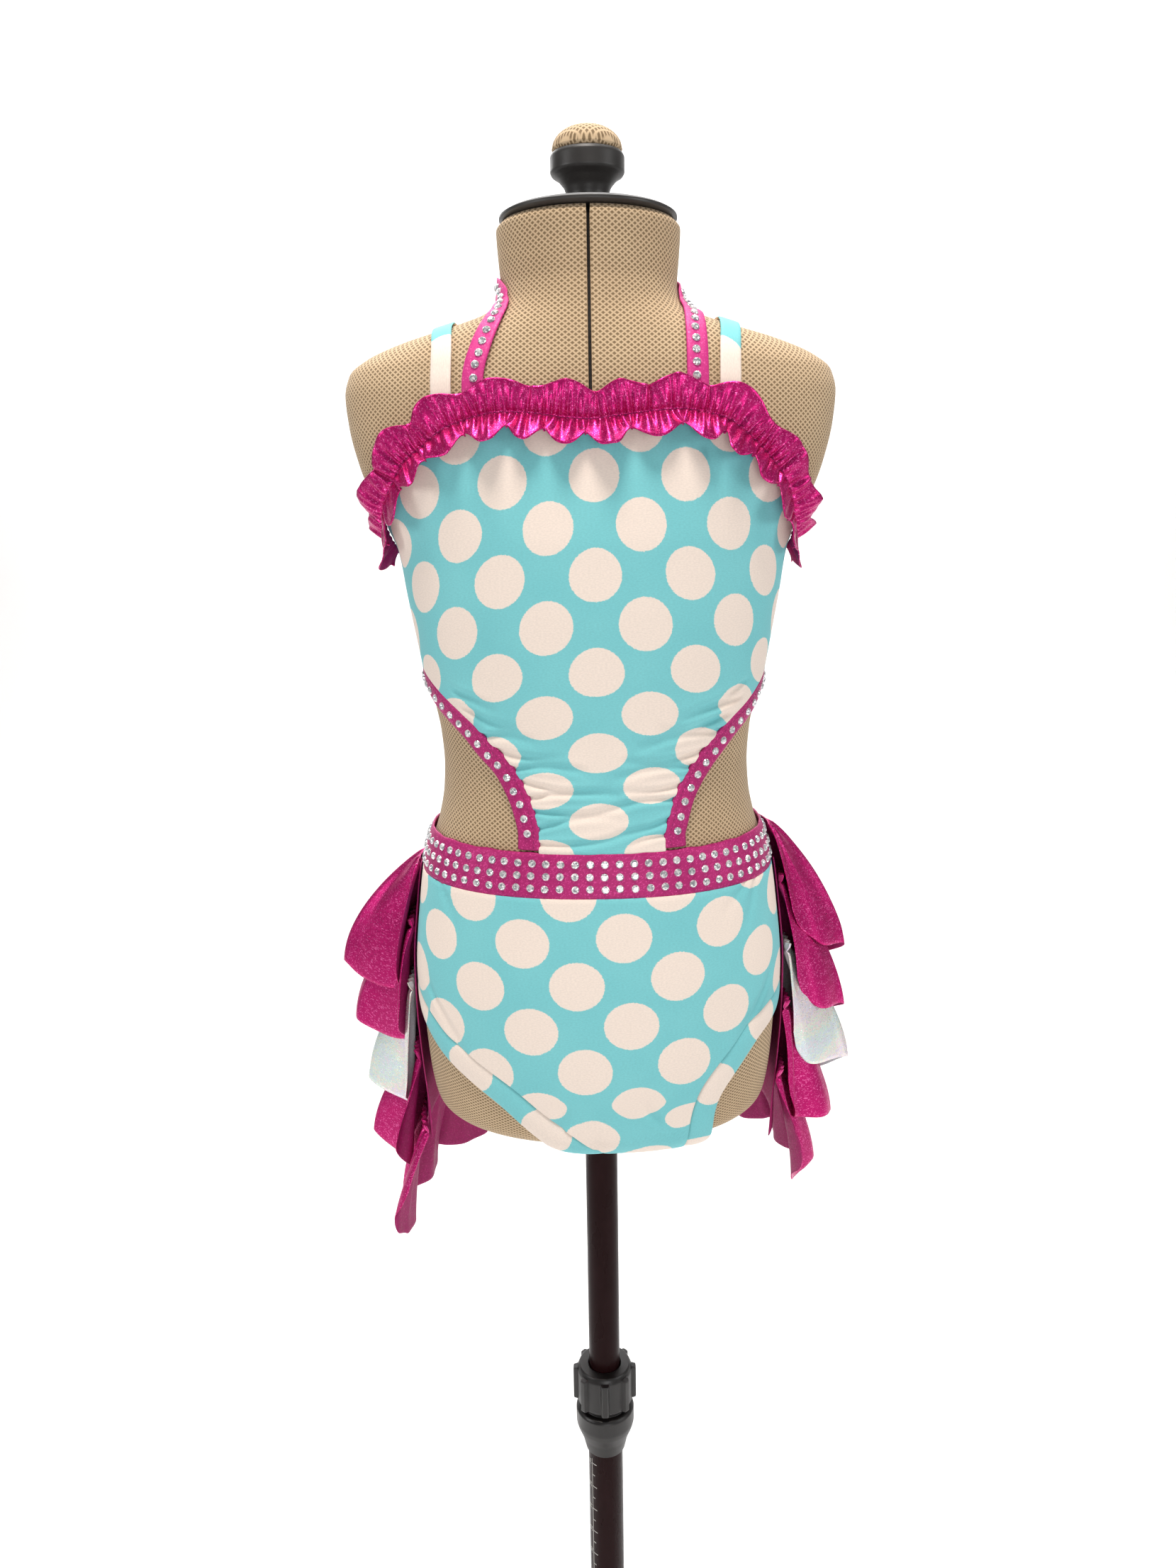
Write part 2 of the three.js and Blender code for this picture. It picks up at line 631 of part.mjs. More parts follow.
// Closed loft through rings of points, with a middle point at both ends
function loft(rings) {
  const sides = rings[0].length;
  const positions = [];
  for (const point of rings.flat()) positions.push(point.x, point.y, point.z);
  const middle = (ring) => {
    const sum = ring.reduce((total, point) => total.add(point), new THREE.Vector3());
    return sum.divideScalar(ring.length);
  };
  const indices = [];
  for (let r = 0; r < rings.length - 1; r += 1) {
    for (let c = 0; c < sides; c += 1) {
      const a = r * sides + c;
      const b = r * sides + ((c + 1) % sides);
      indices.push(a, b, b + sides, a, b + sides, a + sides);
    }
  }
  const total = rings.length * sides;
  const first = middle(rings[0]);
  const last = middle(rings[rings.length - 1]);
  positions.push(first.x, first.y, first.z, last.x, last.y, last.z);
  for (let c = 0; c < sides; c += 1) {
    const next = (c + 1) % sides;
    const foot = (rings.length - 1) * sides;
    indices.push(total, next, c);
    indices.push(total + 1, foot + c, foot + next);
  }
  return outward(solid(positions, indices));
}

// Dress form: neck, shoulders, waist, hips, and a blind socket for the pole underneath
const FORM_LEVELS = [
  1215, 1210, 1197, 1183, 1172, 1165, 1158, 1150, 1142, 1133, 1120, 1102, 1082, 1056, 1030, 1000,
  970, 940, 908, 880, 850, 815, 768, 730, 698, 687, 678, 666, 655, 642, 564,
];

function formSolid() {
  const ring = (v) => Array.from({ length: FORM_SIDES }, (_, c) => (
    bodyPoint(turnAt((360 * c) / FORM_SIDES), v)
  ));
  const rings = FORM_LEVELS.map(ring);
  const mouth = rings[rings.length - 1];
  rings.push(mouth.map((point) => point.clone().setZ(SOCKET_TOP)));
  return loft(rings);
}

// Body of revolution from radius and height pairs that start and end on the axis or close
function turned(profile, sides) {
  const points = profile.map(([radius, z]) => new THREE.Vector2(radius, z));
  const geometry = new THREE.LatheGeometry(points, sides);
  geometry.rotateX(Math.PI / 2);
  return outward(merged(geometry));
}

function merged(geometry) {
  geometry.deleteAttribute('normal');
  geometry.deleteAttribute('uv');
  return mergeVertices(geometry, 1e-4);
}

function tube(radius, bore, bottom, top) {
  const profile = [[bore, bottom], [radius, bottom], [radius, top], [bore, top], [bore, bottom]];
  return turned(profile, TUBE_SIDES);
}

function toManifold(geometry) {
  const clean = geometry.getIndex() ? geometry : merged(geometry);
  return new wasm.Manifold(new wasm.Mesh({
    numProp: 3,
    vertProperties: new Float32Array(clean.getAttribute('position').array),
    triVerts: new Uint32Array(clean.getIndex().array),
  }));
}

function fromManifold(body) {
  const mesh = body.getMesh();
  return solid(Array.from(mesh.vertProperties), Array.from(mesh.triVerts));
}

// Base: a hub and four sloping legs with round feet, in one solid
const HUB_BOTTOM = 16;
const HUB_TOP = 78;
const FOOT_HEIGHT = 14;
const LEG_START = 20;
const LEG_START_Z = 52;

function baseSolid() {
  const hubProfile = [
    [0, HUB_BOTTOM], [HUB_RADIUS - 4, HUB_BOTTOM], [HUB_RADIUS, HUB_BOTTOM + 4],
    [HUB_RADIUS, HUB_TOP - 16], [HUB_RADIUS - 10, HUB_TOP], [LOWER_TUBE_RADIUS + SEAM, HUB_TOP],
    [LOWER_TUBE_RADIUS + SEAM, LOWER_TUBE_BOTTOM - SEAM], [0, LOWER_TUBE_BOTTOM - SEAM],
  ];
  let body = toManifold(turned(hubProfile, TUBE_SIDES));
  const ring = new THREE.Shape().absarc(0, 0, LEG_RADIUS, 0, 2 * Math.PI);
  const bore = turned([
    [0, LOWER_TUBE_BOTTOM - SEAM], [LOWER_TUBE_RADIUS + SEAM, LOWER_TUBE_BOTTOM - SEAM],
    [LOWER_TUBE_RADIUS + SEAM, HUB_TOP + 5], [0, HUB_TOP + 5],
  ], TUBE_SIDES);
  for (let k = 0; k < LEGS; k += 1) {
    const turn = (2 * Math.PI * (k + 0.5)) / LEGS;
    const at = (radius, z) => new THREE.Vector3(
      radius * Math.cos(turn), radius * Math.sin(turn), z,
    );
    const path = new THREE.CatmullRomCurve3([
      at(LEG_START, LEG_START_Z), at(90, 49), at(190, 32), at(LEG_REACH, FOOT_HEIGHT - 4),
    ]);
    const leg = merged(new THREE.ExtrudeGeometry(ring, {
      extrudePath: path, steps: 4, curveSegments: 4, bevelEnabled: false,
    }));
    const footProfile = [
      [0, 0], [FOOT_RADIUS, 0], [FOOT_RADIUS, FOOT_HEIGHT - 3], [FOOT_RADIUS - 3, FOOT_HEIGHT + 4],
      [0, FOOT_HEIGHT + 6],
    ];
    const foot = turned(footProfile, 10);
    const middle = at(LEG_REACH, 0);
    foot.translate(middle.x, middle.y, 0);
    body = body.add(toManifold(outward(leg))).add(toManifold(foot));
  }
  return fromManifold(body.subtract(toManifold(bore)));
}

// Collar: sleeve round the top of the lower tube, with the neck that the nut clamps on
function collarSolid() {
  const bore = LOWER_TUBE_RADIUS + SEAM;
  return turned([
    [bore, 386], [bore + 1.4, 386], [16.5, 396], [COLLAR_RADIUS - 1, 405], [COLLAR_RADIUS, 409],
    [COLLAR_RADIUS, 420], [COLLAR_RADIUS - 1.5, 422], [COLLAR_NECK_RADIUS, 422],
    [COLLAR_NECK_RADIUS, 446], [bore, 446], [bore, 386],
  ], TUBE_SIDES);
}

// Collar nut: lugs for the fingers round a bore that turns on the collar's neck
function nutSolid() {
  const outline = new THREE.Shape();
  const perLug = 6;
  const steps = NUT_LUGS * perLug;
  for (let k = 0; k < steps; k += 1) {
    const raised = k % perLug === 1 || k % perLug === 2;
    const radius = raised ? NUT_LUG_RADIUS : NUT_RADIUS;
    const turn = (2 * Math.PI * k) / steps;
    const place = [radius * Math.cos(turn), radius * Math.sin(turn)];
    if (k === 0) outline.moveTo(...place);
    else outline.lineTo(...place);
  }
  const lugs = merged(new THREE.ExtrudeGeometry(outline, {
    depth: NUT_TOP - NUT_BOTTOM - 5, bevelEnabled: false,
  }));
  lugs.translate(0, 0, NUT_BOTTOM + 2);
  const ring = turned([
    [0, NUT_BOTTOM], [NUT_RADIUS, NUT_BOTTOM], [NUT_RADIUS, NUT_TOP - 2],
    [NUT_RADIUS - 2, NUT_TOP], [0, NUT_TOP],
  ], TUBE_SIDES);
  const bore = turned([
    [0, NUT_BOTTOM - 5], [COLLAR_NECK_RADIUS + 0.6, NUT_BOTTOM - 5],
    [COLLAR_NECK_RADIUS + 0.6, 448], [LOWER_TUBE_BORE, 448], [LOWER_TUBE_BORE, NUT_TOP + 5],
    [0, NUT_TOP + 5],
  ], TUBE_SIDES);
  const body = toManifold(ring).add(toManifold(outward(lugs))).subtract(toManifold(bore));
  return fromManifold(body);
}

// Neck cap, knob and the fabric pad on the knob
const CAP_BOTTOM = NECK_TOP + SEAM;
const KNOB_BOTTOM = 1221.3;
const PAD_BOTTOM = 1252.3;
const capSolid = () => turned([
  [0, CAP_BOTTOM], [CAP_RADIUS - 2, CAP_BOTTOM], [CAP_RADIUS, CAP_BOTTOM + 1.5],
  [CAP_RADIUS, CAP_BOTTOM + 3], [CAP_RADIUS - 3, CAP_BOTTOM + 4.7], [20, 1221], [0, 1221],
], 24);
const knobSolid = () => turned([
  [0, KNOB_BOTTOM], [12.5, KNOB_BOTTOM], [11.8, 1226], [11.9, 1230], [13.5, 1234.5],
  [17, 1238.5], [20.4, 1240.6], [21.2, 1242], [21.2, 1250], [20, 1252], [0, 1252],
], 20);
const padSolid = () => turned([
  [0, PAD_BOTTOM], [19, PAD_BOTTOM], [20, 1254], [19.2, 1257.5], [16.2, 1261.5], [11, 1264.6],
  [5.5, 1266], [0, 1266.3],
], 20);

// Finishes
const finish = (color, roughness, metalness = 0) => (
  new THREE.MeshStandardMaterial({ color, roughness, metalness })
);
const FINISHES = {
  aqua: finish('#7CCFCF', 0.7),
  magenta: finish('#A8116F', 0.35, 0.3),
  bright: finish('#D0207F', 0.5),
  silver: finish('#C9D0CE', 0.25, 0.7),
  linen: finish('#BFA27C', 0.85),
  black: finish('#2B2827', 0.5),
  enamel: finish('#201516', 0.3, 0.5),
};

const costume = new THREE.Group();

function add(name, geometry, material) {
  const mesh = new THREE.Mesh(geometry, FINISHES[material]);
  mesh.name = name;
  costume.add(mesh);
}

// Stand
add('base', baseSolid(), 'enamel');
const lowerTube = tube(LOWER_TUBE_RADIUS, LOWER_TUBE_BORE, LOWER_TUBE_BOTTOM, LOWER_TUBE_TOP);
add('lower_tube', lowerTube, 'enamel');
add('collar_body', collarSolid(), 'black');
add('collar_nut', nutSolid(), 'black');
const upperTube = tube(UPPER_TUBE_RADIUS, UPPER_TUBE_BORE, UPPER_TUBE_BOTTOM, SOCKET_TOP - SEAM);
add('upper_tube', upperTube, 'enamel');

// Dress form
add('form_body', formSolid(), 'linen');
add('neck_cap', capSolid(), 'black');
add('neck_knob', knobSolid(), 'black');
add('knob_pad', padSolid(), 'linen');

// Bodice with its bindings
add('bodice_front', panel(bodiceRows, 18, bodicePlace), 'aqua');
add('bodice_back', panel(3, 18, bodiceBackPlace), 'aqua');
for (const [side, cut, sign] of [['left', CUT_LEFT, -1], ['right', CUT_RIGHT, 1]]) {
  const line = bindingLine(cut, sign);
  const near = -sign * SEAM;
  const far = -sign * (SEAM + BINDING_WIDTH);
  add(`binding_${side}`, strip(line, near, far), 'magenta');
}

// Waistband all round
const bandPlace = (down, across) => ({
  t: turnAt(360 * across),
  v: mix(WAIST_TOP, WAIST_BOTTOM, down),
});
add('waistband', panel(2, FORM_SIDES, bandPlace, CLEAR, BAND_WALL, true), 'magenta');

// Brief and its leg bands
const briefRows = BRIEF_UPPER_ROWS + LEG_STEPS;
add('brief_front', panel(briefRows, 18, briefPlace(false), BRIEF_CLEAR), 'aqua');
add('brief_back', panel(briefRows, 18, briefPlace(true), BRIEF_CLEAR), 'aqua');
for (const side of ['left', 'right']) {
  const width = LEG_SIGN[side] * LEG_BAND_WIDTH;
  add(`leg_band_${side}`, strip(legLoop(side), 0, width, { closed: true, wall: WALL }), 'aqua');
}

// Straps
function strapSolid(stops, width, count, start) {
  return strip(route(stops, count, start), -width / 2, width / 2, { wall: WALL, steps: 1 });
}
const SHOULDER_STEPS = 26;
const HALTER_STEPS = 40;
const leftStart = { t: -51, v: 1098 };
const rightStart = { t: 48, v: 1101 };
const halterStart = { t: -43, v: 1107 };
const leftStrap = strapSolid(SHOULDER_LEFT_ROUTE, SHOULDER_WIDTH, SHOULDER_STEPS, leftStart);
const rightStrap = strapSolid(SHOULDER_RIGHT_ROUTE, SHOULDER_WIDTH, SHOULDER_STEPS, rightStart);
add('shoulder_strap_left', leftStrap, 'aqua');
add('shoulder_strap_right', rightStrap, 'aqua');
add('halter_strap', strapSolid(HALTER_ROUTE, HALTER_WIDTH, HALTER_STEPS, halterStart), 'bright');

// Neckline frill
add('neckline_ruffle', clothWall(frillGrid(), WALL), 'magenta');

// Bustle
add('bustle_base', clothWall(baseGrid(), WALL), 'magenta');
for (const tier of TIERS) add(tier.name, clothWall(tierGrid(tier), WALL), tier.material);

export default costume;
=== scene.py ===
import math

import bpy
import numpy as np
from mathutils import Matrix, Vector


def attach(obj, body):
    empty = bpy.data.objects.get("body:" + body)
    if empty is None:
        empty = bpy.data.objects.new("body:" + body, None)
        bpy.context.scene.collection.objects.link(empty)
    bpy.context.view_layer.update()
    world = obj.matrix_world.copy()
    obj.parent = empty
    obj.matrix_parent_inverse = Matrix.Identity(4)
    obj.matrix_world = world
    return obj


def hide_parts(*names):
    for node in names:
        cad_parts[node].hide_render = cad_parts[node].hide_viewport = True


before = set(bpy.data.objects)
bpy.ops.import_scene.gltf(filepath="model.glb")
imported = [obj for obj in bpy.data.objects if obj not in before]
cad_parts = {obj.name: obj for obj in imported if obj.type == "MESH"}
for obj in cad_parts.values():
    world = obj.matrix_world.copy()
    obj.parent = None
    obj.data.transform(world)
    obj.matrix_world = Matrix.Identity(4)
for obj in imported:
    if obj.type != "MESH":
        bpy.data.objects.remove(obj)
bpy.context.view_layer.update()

MM = 0.001
ROUND = 2 * math.pi

# Viewpoint of the photograph: a phone's wide lens, chest high, tipped down at the costume
EYE = (0.0, -705.0, 1050.0)
PITCH = 13.1
ROLL = 0.83
LENS = 26.0
SENSOR = 36.0
FRAMING_SHIFT = -0.0052


def new_object(name, data):
    made = bpy.data.objects.new(name, data)
    bpy.context.collection.objects.link(made)
    return made


def make_camera():
    pitch, roll = math.radians(PITCH), math.radians(ROLL)
    forward = Vector((0, math.cos(pitch), -math.sin(pitch)))
    up = Vector((0, math.sin(pitch), math.cos(pitch)))
    right = Vector((1, 0, 0))
    across = right * math.cos(roll) - up * math.sin(roll)
    upright = right * math.sin(roll) + up * math.cos(roll)
    lens = bpy.data.cameras.new("camera")
    lens.lens = LENS
    lens.sensor_width = SENSOR
    lens.shift_x = FRAMING_SHIFT
    lens.clip_start = 0.02
    camera = new_object("camera", lens)
    turn = Matrix((across, upright, -forward)).transposed().to_4x4()
    camera.matrix_world = Matrix.Translation(Vector(EYE) * MM) @ turn
    bpy.context.scene.camera = camera


make_camera()


# Tables with named columns

def table(columns, *rows):
    return {name: np.array(values, float) for name, values in zip(columns.split(), zip(*rows))}


# Sections of the form: v runs down the profile and under it, the rest are the section's sizes
BODY = table(
    "v z half front back square",
    (564, 664.6, 11.4, 11.4, 11.4, 2.0), (590, 665, 36, 26, 26, 2.05),
    (620, 666.3, 66, 45, 46, 2.15), (642, 668.6, 88, 61, 63, 2.25),
    (658, 674.5, 101, 73, 75, 2.3), (672, 683.3, 108.5, 80, 82, 2.35),
    (690, 696, 111.5, 83, 85, 2.35), (716, 716, 113.6, 85, 87, 2.35),
    (742, 742, 115, 86, 88, 2.35), (768, 768, 115.3, 86, 88, 2.35),
    (818, 818, 111, 84, 84, 2.3), (850, 850, 106, 82, 78, 2.25),
    (871, 871, 99.5, 80.5, 73.5, 2.2), (889, 889, 96, 79.5, 71.5, 2.2),
    (906, 906, 95, 79, 71, 2.2), (924, 924, 96, 79.5, 72.5, 2.25),
    (947, 947, 99.8, 81, 75, 2.3), (981, 981, 105.5, 83, 78.5, 2.3),
    (1008, 1008, 110, 84, 80.5, 2.3), (1034, 1034, 114, 84, 82, 2.3),
    (1050, 1050, 121, 82.5, 83, 2.3), (1068, 1068, 132, 80, 82.5, 2.3),
    (1085, 1085, 138, 77, 81, 2.3), (1105, 1105, 142.5, 73, 78, 2.25),
    (1122, 1122, 144, 69, 74.5, 2.2), (1134, 1134, 141, 65.5, 70.5, 2.1),
    (1142, 1142, 131, 62.5, 67, 2.05), (1150, 1150, 112, 59.5, 64, 2.0),
    (1158, 1158, 84, 56, 61, 2.0), (1165, 1165, 63, 53, 58, 2.0),
    (1172, 1172, 53.5, 51, 55, 2.0), (1182, 1182, 51, 49, 52, 2.0),
    (1196, 1196, 52, 49, 51, 2.0), (1211, 1211, 52.8, 50, 52, 2.0),
    (1215, 1215, 49.5, 46.5, 48.5, 2.0),
)

# Top edge of the bodice, which the frill is gathered onto
NECKLINE = table(
    "t v",
    (-90, 1034), (-78, 1050), (-70, 1062), (-65, 1071), (-61, 1082), (-56, 1090), (-51, 1098),
    (-46, 1102), (-38, 1105.5), (-26, 1105.5), (-11, 1102.6), (0, 1101.7), (12, 1103.3),
    (24, 1105.3), (36, 1106.3), (43, 1104.5), (49, 1100.5), (54, 1092), (59, 1081),
    (64, 1069), (70, 1054), (78, 1043), (90, 1034),
)

# Edge of the bodice at the waist cut-outs, from the waistband up to the side seam
CUT_LEFT = table(
    "v t",
    (863, -22.8), (873, -22.8), (892, -25.7), (905, -29.6), (917, -34.6), (928, -42),
    (939, -49), (952, -61), (962, -73), (970, -90),
)
CUT_RIGHT = table(
    "v t",
    (863, 26.9), (873, 26.9), (882, 28.5), (896, 31.6), (908, 36.1), (918.6, 41.4),
    (927.3, 46.8), (937.3, 54), (946, 62.5), (957, 74), (966, 90),
)

# Leg openings, from the side down the front to the crotch, then up the back to the side
LEG_FRONT = {
    "left": table(
        "t v",
        (-90, 753), (-79, 746), (-69, 738), (-59.6, 727.8), (-49.4, 716.6), (-39.2, 701.5),
        (-28.8, 679.4), (-12, 652), (10, 616), (32, 586), (90, 569),
    ),
    "right": table(
        "t v",
        (90, 750), (81, 746), (71, 742), (61.2, 735.9), (51, 718.2), (45.8, 701.2),
        (44.4, 680.1), (47, 658), (60, 637), (90, 624),
    ),
}
LEG_BACK = {
    "left": table(
        "t v",
        (90, 569), (152, 587), (178, 619), (195, 655), (206, 688), (219, 714), (235, 734),
        (252, 746), (270, 753),
    ),
    "right": table(
        "t v",
        (90, 624), (120, 642), (133, 674), (137, 700), (131, 722), (120, 738), (106, 747),
        (90, 750),
    ),
}

# Routes of the straps over the form
HALTER_ROUTE = table(
    "x y z",
    (-63, -68, 1107), (-63, -64, 1128), (-59, -58, 1143), (-54, -49, 1157), (-51, -36, 1168),
    (-52, -12, 1179), (-44, 27, 1185), (-20, 49, 1188), (2, 54, 1188), (24, 48, 1188),
    (46, 26, 1184), (55, -6, 1176), (58, -30, 1167), (58, -50, 1155), (58, -61, 1139),
    (57.8, -66, 1124), (57.6, -70, 1107),
)
SHOULDER_ROUTE = {
    "left": table(
        "x y z",
        (-81, -66, 1103), (-81, -62, 1119), (-81, -52, 1143), (-82, -30, 1156), (-82, 0, 1159),
        (-81, 28, 1158), (-79, 52, 1147), (-75, 66, 1125), (-70, 74, 1100), (-66, 80, 1065),
        (-62, 80, 1034),
    ),
    "right": table(
        "x y z",
        (75.4, -67, 1106), (75.5, -64, 1117), (76.3, -55, 1140), (77.5, -40, 1153),
        (78, -10, 1160), (78, 20, 1160), (76, 46, 1151), (73, 62, 1133), (69, 72, 1105),
        (65, 80, 1066), (61, 80, 1034),
    ),
}
STRAP_WIDTH = 11

# Cloth
PRINT_CELL = 52
SEAM = 0.3
KNIT = 0.8  # stretch knit
FOLDED = 1.5  # bindings and waistband, folded double
BODICE_LIFT = 2.3  # form to the middle of the cloth
BRIEF_LIFT = 2.9
BAND_LIFT = 2.1
STRAP_LIFT = 1.6
BAND_DOME, STRAP_DOME = 0.25, 0.15  # how far a folded band bulges
BINDING_WIDTH = 12
LEG_BAND_WIDTH = 16
LEG_SEAM = 0.5
WAIST_TOP = 863.5
WAIST_BOTTOM = 837.5
SIDE_SEAM = 89.8
CHEST_LINE = 970
BACK_TOP = 1034
BACK_EDGE = 972

# Tiers of the bustle, from the top: heights of the gathering line and lengths at both hips
TIERS = table(
    "right_z left_z right_length left_length right_flare left_flare start",
    (861, 838, 104, 103, 19, 25, 84), (822, 795, 100, 98, 18.5, 24, 84),
    (776, 753, 93, 99, 23, 20, 83), (738, 707, 94, 92, 17, 21, 80), (693, 661, 78, 89, 13, 9, 75),
)
SILVER_TIER = 3
TIER_FOLDS = 8
TIER_REST_ANGLE = 8
TIER_BULGE = 1.5  # a tier leaves its gathers steeply, then hangs
TIER_CORNER = 34  # width over which a tier's hem curves up to its free end
TIER_CORNER_RISE = 46
TIER_HEADER = 5  # gathered edge that stands above the stitching
TIER_PITCH = 2.2  # mm of gathers to a degree of share
TIER_SWAY = 6
TIER_PHASE = 0.9
TIER_MIDDLE = 0.75
TIER_LIFT = 7.2
BASE_LIFT = 5.1
BASE_START_TOP = 86
BASE_START_HEM = 72
BUSTLE_HEM = 657
LOWEST_HOLD = 680


# Geometry of the form's surface

def along(rows, axis, key, at):
    """Smooth value of one column along another, with no overshoot"""
    xs, ys = rows[axis], rows[key]
    rise = np.diff(ys) / np.diff(xs)
    slope = np.empty(len(xs))
    slope[0], slope[-1] = rise[0], rise[-1]
    product = rise[:-1] * rise[1:]
    total = np.where(product > 0, rise[:-1] + rise[1:], 1.0)
    slope[1:-1] = np.where(product > 0, 2 * product / total, 0.0)
    at = np.clip(at, xs[0], xs[-1])
    k = np.clip(np.searchsorted(xs, at, side="right") - 1, 0, len(xs) - 2)
    span = xs[k + 1] - xs[k]
    u = (at - xs[k]) / span
    start = (2 * u**3 - 3 * u**2 + 1) * ys[k] + (u**3 - 2 * u**2 + u) * span * slope[k]
    return start + (3 * u**2 - 2 * u**3) * ys[k + 1] + (u**3 - u**2) * span * slope[k + 1]


def unit(vectors):
    length = np.linalg.norm(vectors, axis=-1, keepdims=True)
    return vectors / np.maximum(length, 1e-9)


def mix(start, end, part):
    return start + (end - start) * part


def body_point(t, v):
    """Point of the form's surface: t in degrees round from the centre front, v down the profile"""
    t, v = np.broadcast_arrays(np.asarray(t, float), np.asarray(v, float))
    sine, cosine = np.sin(np.radians(t)), np.cos(np.radians(t))
    half = along(BODY, "v", "half", v)
    depth = np.where(cosine > 0, along(BODY, "v", "front", v), along(BODY, "v", "back", v))
    power = along(BODY, "v", "square", v)
    reach = ((np.abs(sine) / half) ** power + (np.abs(cosine) / depth) ** power) ** (-1 / power)
    return np.stack([reach * sine, -reach * cosine, along(BODY, "v", "z", v)], axis=-1)


STEP_T, STEP_V = 0.05, 0.5  # short ways round and along the profile, to find directions


def body_normal(t, v):
    across = body_point(t + STEP_T, v) - body_point(t - STEP_T, v)
    up = body_point(t, v + STEP_V) - body_point(t, v - STEP_V)
    return unit(np.cross(across, up))


RIM_V, RIM_SPAN, RIM_LIFT = 662, 17, 2.9  # cloth bridges the tight rim under the hips


def on_body(t, v, lift):
    t, v = np.broadcast_arrays(np.asarray(t, float), np.asarray(v, float))
    rim = RIM_LIFT * np.exp(-(((v - RIM_V) / RIM_SPAN) ** 2))
    return body_point(t, v) + body_normal(t, v) * np.expand_dims(lift + rim, -1)


SHARE_ASPECT, SHARE_POWER = 1.35, 0.87


def signed_power(value, power):
    return np.sign(value) * np.abs(value) ** power


def unwrap(angle, near):
    return angle + 360 * np.round((near - angle) / 360)


def turn_at(share):
    """Azimuth at an even share of the outline"""
    sine = SHARE_ASPECT * signed_power(np.sin(np.radians(share)), SHARE_POWER)
    cosine = signed_power(np.cos(np.radians(share)), SHARE_POWER)
    return unwrap(np.degrees(np.arctan2(sine, cosine)), share)


def share_at(turn):
    sine = signed_power(np.sin(np.radians(turn)) / SHARE_ASPECT, 1 / SHARE_POWER)
    cosine = signed_power(np.cos(np.radians(turn)), 1 / SHARE_POWER)
    return unwrap(np.degrees(np.arctan2(sine, cosine)), turn)


def mix_turn(start, end, part):
    return turn_at(mix(share_at(start), share_at(end), part))


def dot(a, b):
    return np.sum(a * b, axis=-1)


MOST_TURN, MOST_CLIMB = 12, 8  # limits of one step of the search


def settle(points, t, v, rounds=14):
    """Nearest places of the form's surface to points, searched from places close by"""
    t, v = np.array(t, float), np.array(v, float)
    for _ in range(rounds):
        here = body_point(t, v)
        across = (body_point(t + STEP_T, v) - here) / STEP_T
        up = (body_point(t, v + STEP_T) - here) / STEP_T
        miss = points - here
        aa, au, uu = dot(across, across), dot(across, up), dot(up, up)
        det = aa * uu - au * au
        turn = (dot(miss, across) * uu - dot(miss, up) * au) / det
        climb = (dot(miss, up) * aa - dot(miss, across) * au) / det
        t += np.clip(turn, -MOST_TURN, MOST_TURN)
        v += np.clip(climb, -MOST_CLIMB, MOST_CLIMB)
    return t, v


CURVE_STEPS = 40  # between two stops


def curve_through(stops, count):
    """Evenly spaced points on a centripetal curve through stops, and each point's share of stops"""
    ends = np.vstack([2 * stops[0] - stops[1], stops, 2 * stops[-1] - stops[-2]])
    gaps = np.linalg.norm(np.diff(ends, axis=0), axis=1) ** 0.5
    fine, shares = [], []
    for k in range(len(stops) - 1):
        p0, p1, p2, p3 = ends[k : k + 4]
        g0, g1, g2 = gaps[k : k + 3]
        m1 = ((p1 - p0) / g0 - (p2 - p0) / (g0 + g1) + (p2 - p1) / g1) * g1
        m2 = ((p2 - p1) / g1 - (p3 - p1) / (g1 + g2) + (p3 - p2) / g2) * g1
        u = np.linspace(0, 1, CURVE_STEPS, endpoint=False)[:, None]
        start = (2 * u**3 - 3 * u**2 + 1) * p1 + (u**3 - 2 * u**2 + u) * m1
        fine.append(start + (3 * u**2 - 2 * u**3) * p2 + (u**3 - u**2) * m2)
        shares.append(k + u[:, 0])
    fine = np.vstack(fine + [stops[-1:]])
    shares = np.append(np.concatenate(shares), len(stops) - 1)
    length = np.append(0, np.cumsum(np.linalg.norm(np.diff(fine, axis=0), axis=1)))
    even = np.linspace(0, length[-1], count + 1)
    points = np.stack([np.interp(even, length, fine[:, axis]) for axis in range(3)], axis=1)
    return points, np.interp(even, length, shares)


def route(stops, count):
    """Places on a smooth line over the form through a table of places or points"""
    if "t" in stops:
        t, v = stops["t"], stops["v"]
        points = body_point(t, v)
    else:
        points = np.stack([stops["x"], stops["y"], stops["z"]], axis=1)
        t = np.unwrap(np.degrees(np.arctan2(stops["x"], -stops["y"])), period=360)
        v = stops["z"]
    line, shares = curve_through(points, count)
    at = np.arange(len(t))
    return settle(line, np.interp(shares, at, t), np.interp(shares, at, v))


def beside(t, v, distance, closed=False):
    """Places at a sideways distance from a line of places on the form"""
    points = body_point(t, v)
    if closed:
        run = np.roll(points, -1, axis=0) - np.roll(points, 1, axis=0)
    else:
        run = np.gradient(points, axis=0)
    side = unit(np.cross(body_normal(t, v), unit(run)))
    return settle(points + side * np.expand_dims(distance, -1), t, v)


def ring_arc(t, v, centre, steps=36):
    """Distance round the form from the centre line to each place, at its own height"""
    t, v = np.broadcast_arrays(np.asarray(t, float), np.asarray(v, float))
    part = np.linspace(0, 1, steps + 1).reshape((-1,) + (1,) * t.ndim)
    points = body_point(mix(centre, t, part), np.broadcast_to(v, (steps + 1,) + v.shape))
    length = np.linalg.norm(np.diff(points, axis=0), axis=-1).sum(axis=0)
    return np.sign(t - centre) * length


# Meshes: a part is a dict of points, quads, triangles and texture places for each point

RIM_ROUND = 0.45  # of the thickness, how far a cut edge is rounded out


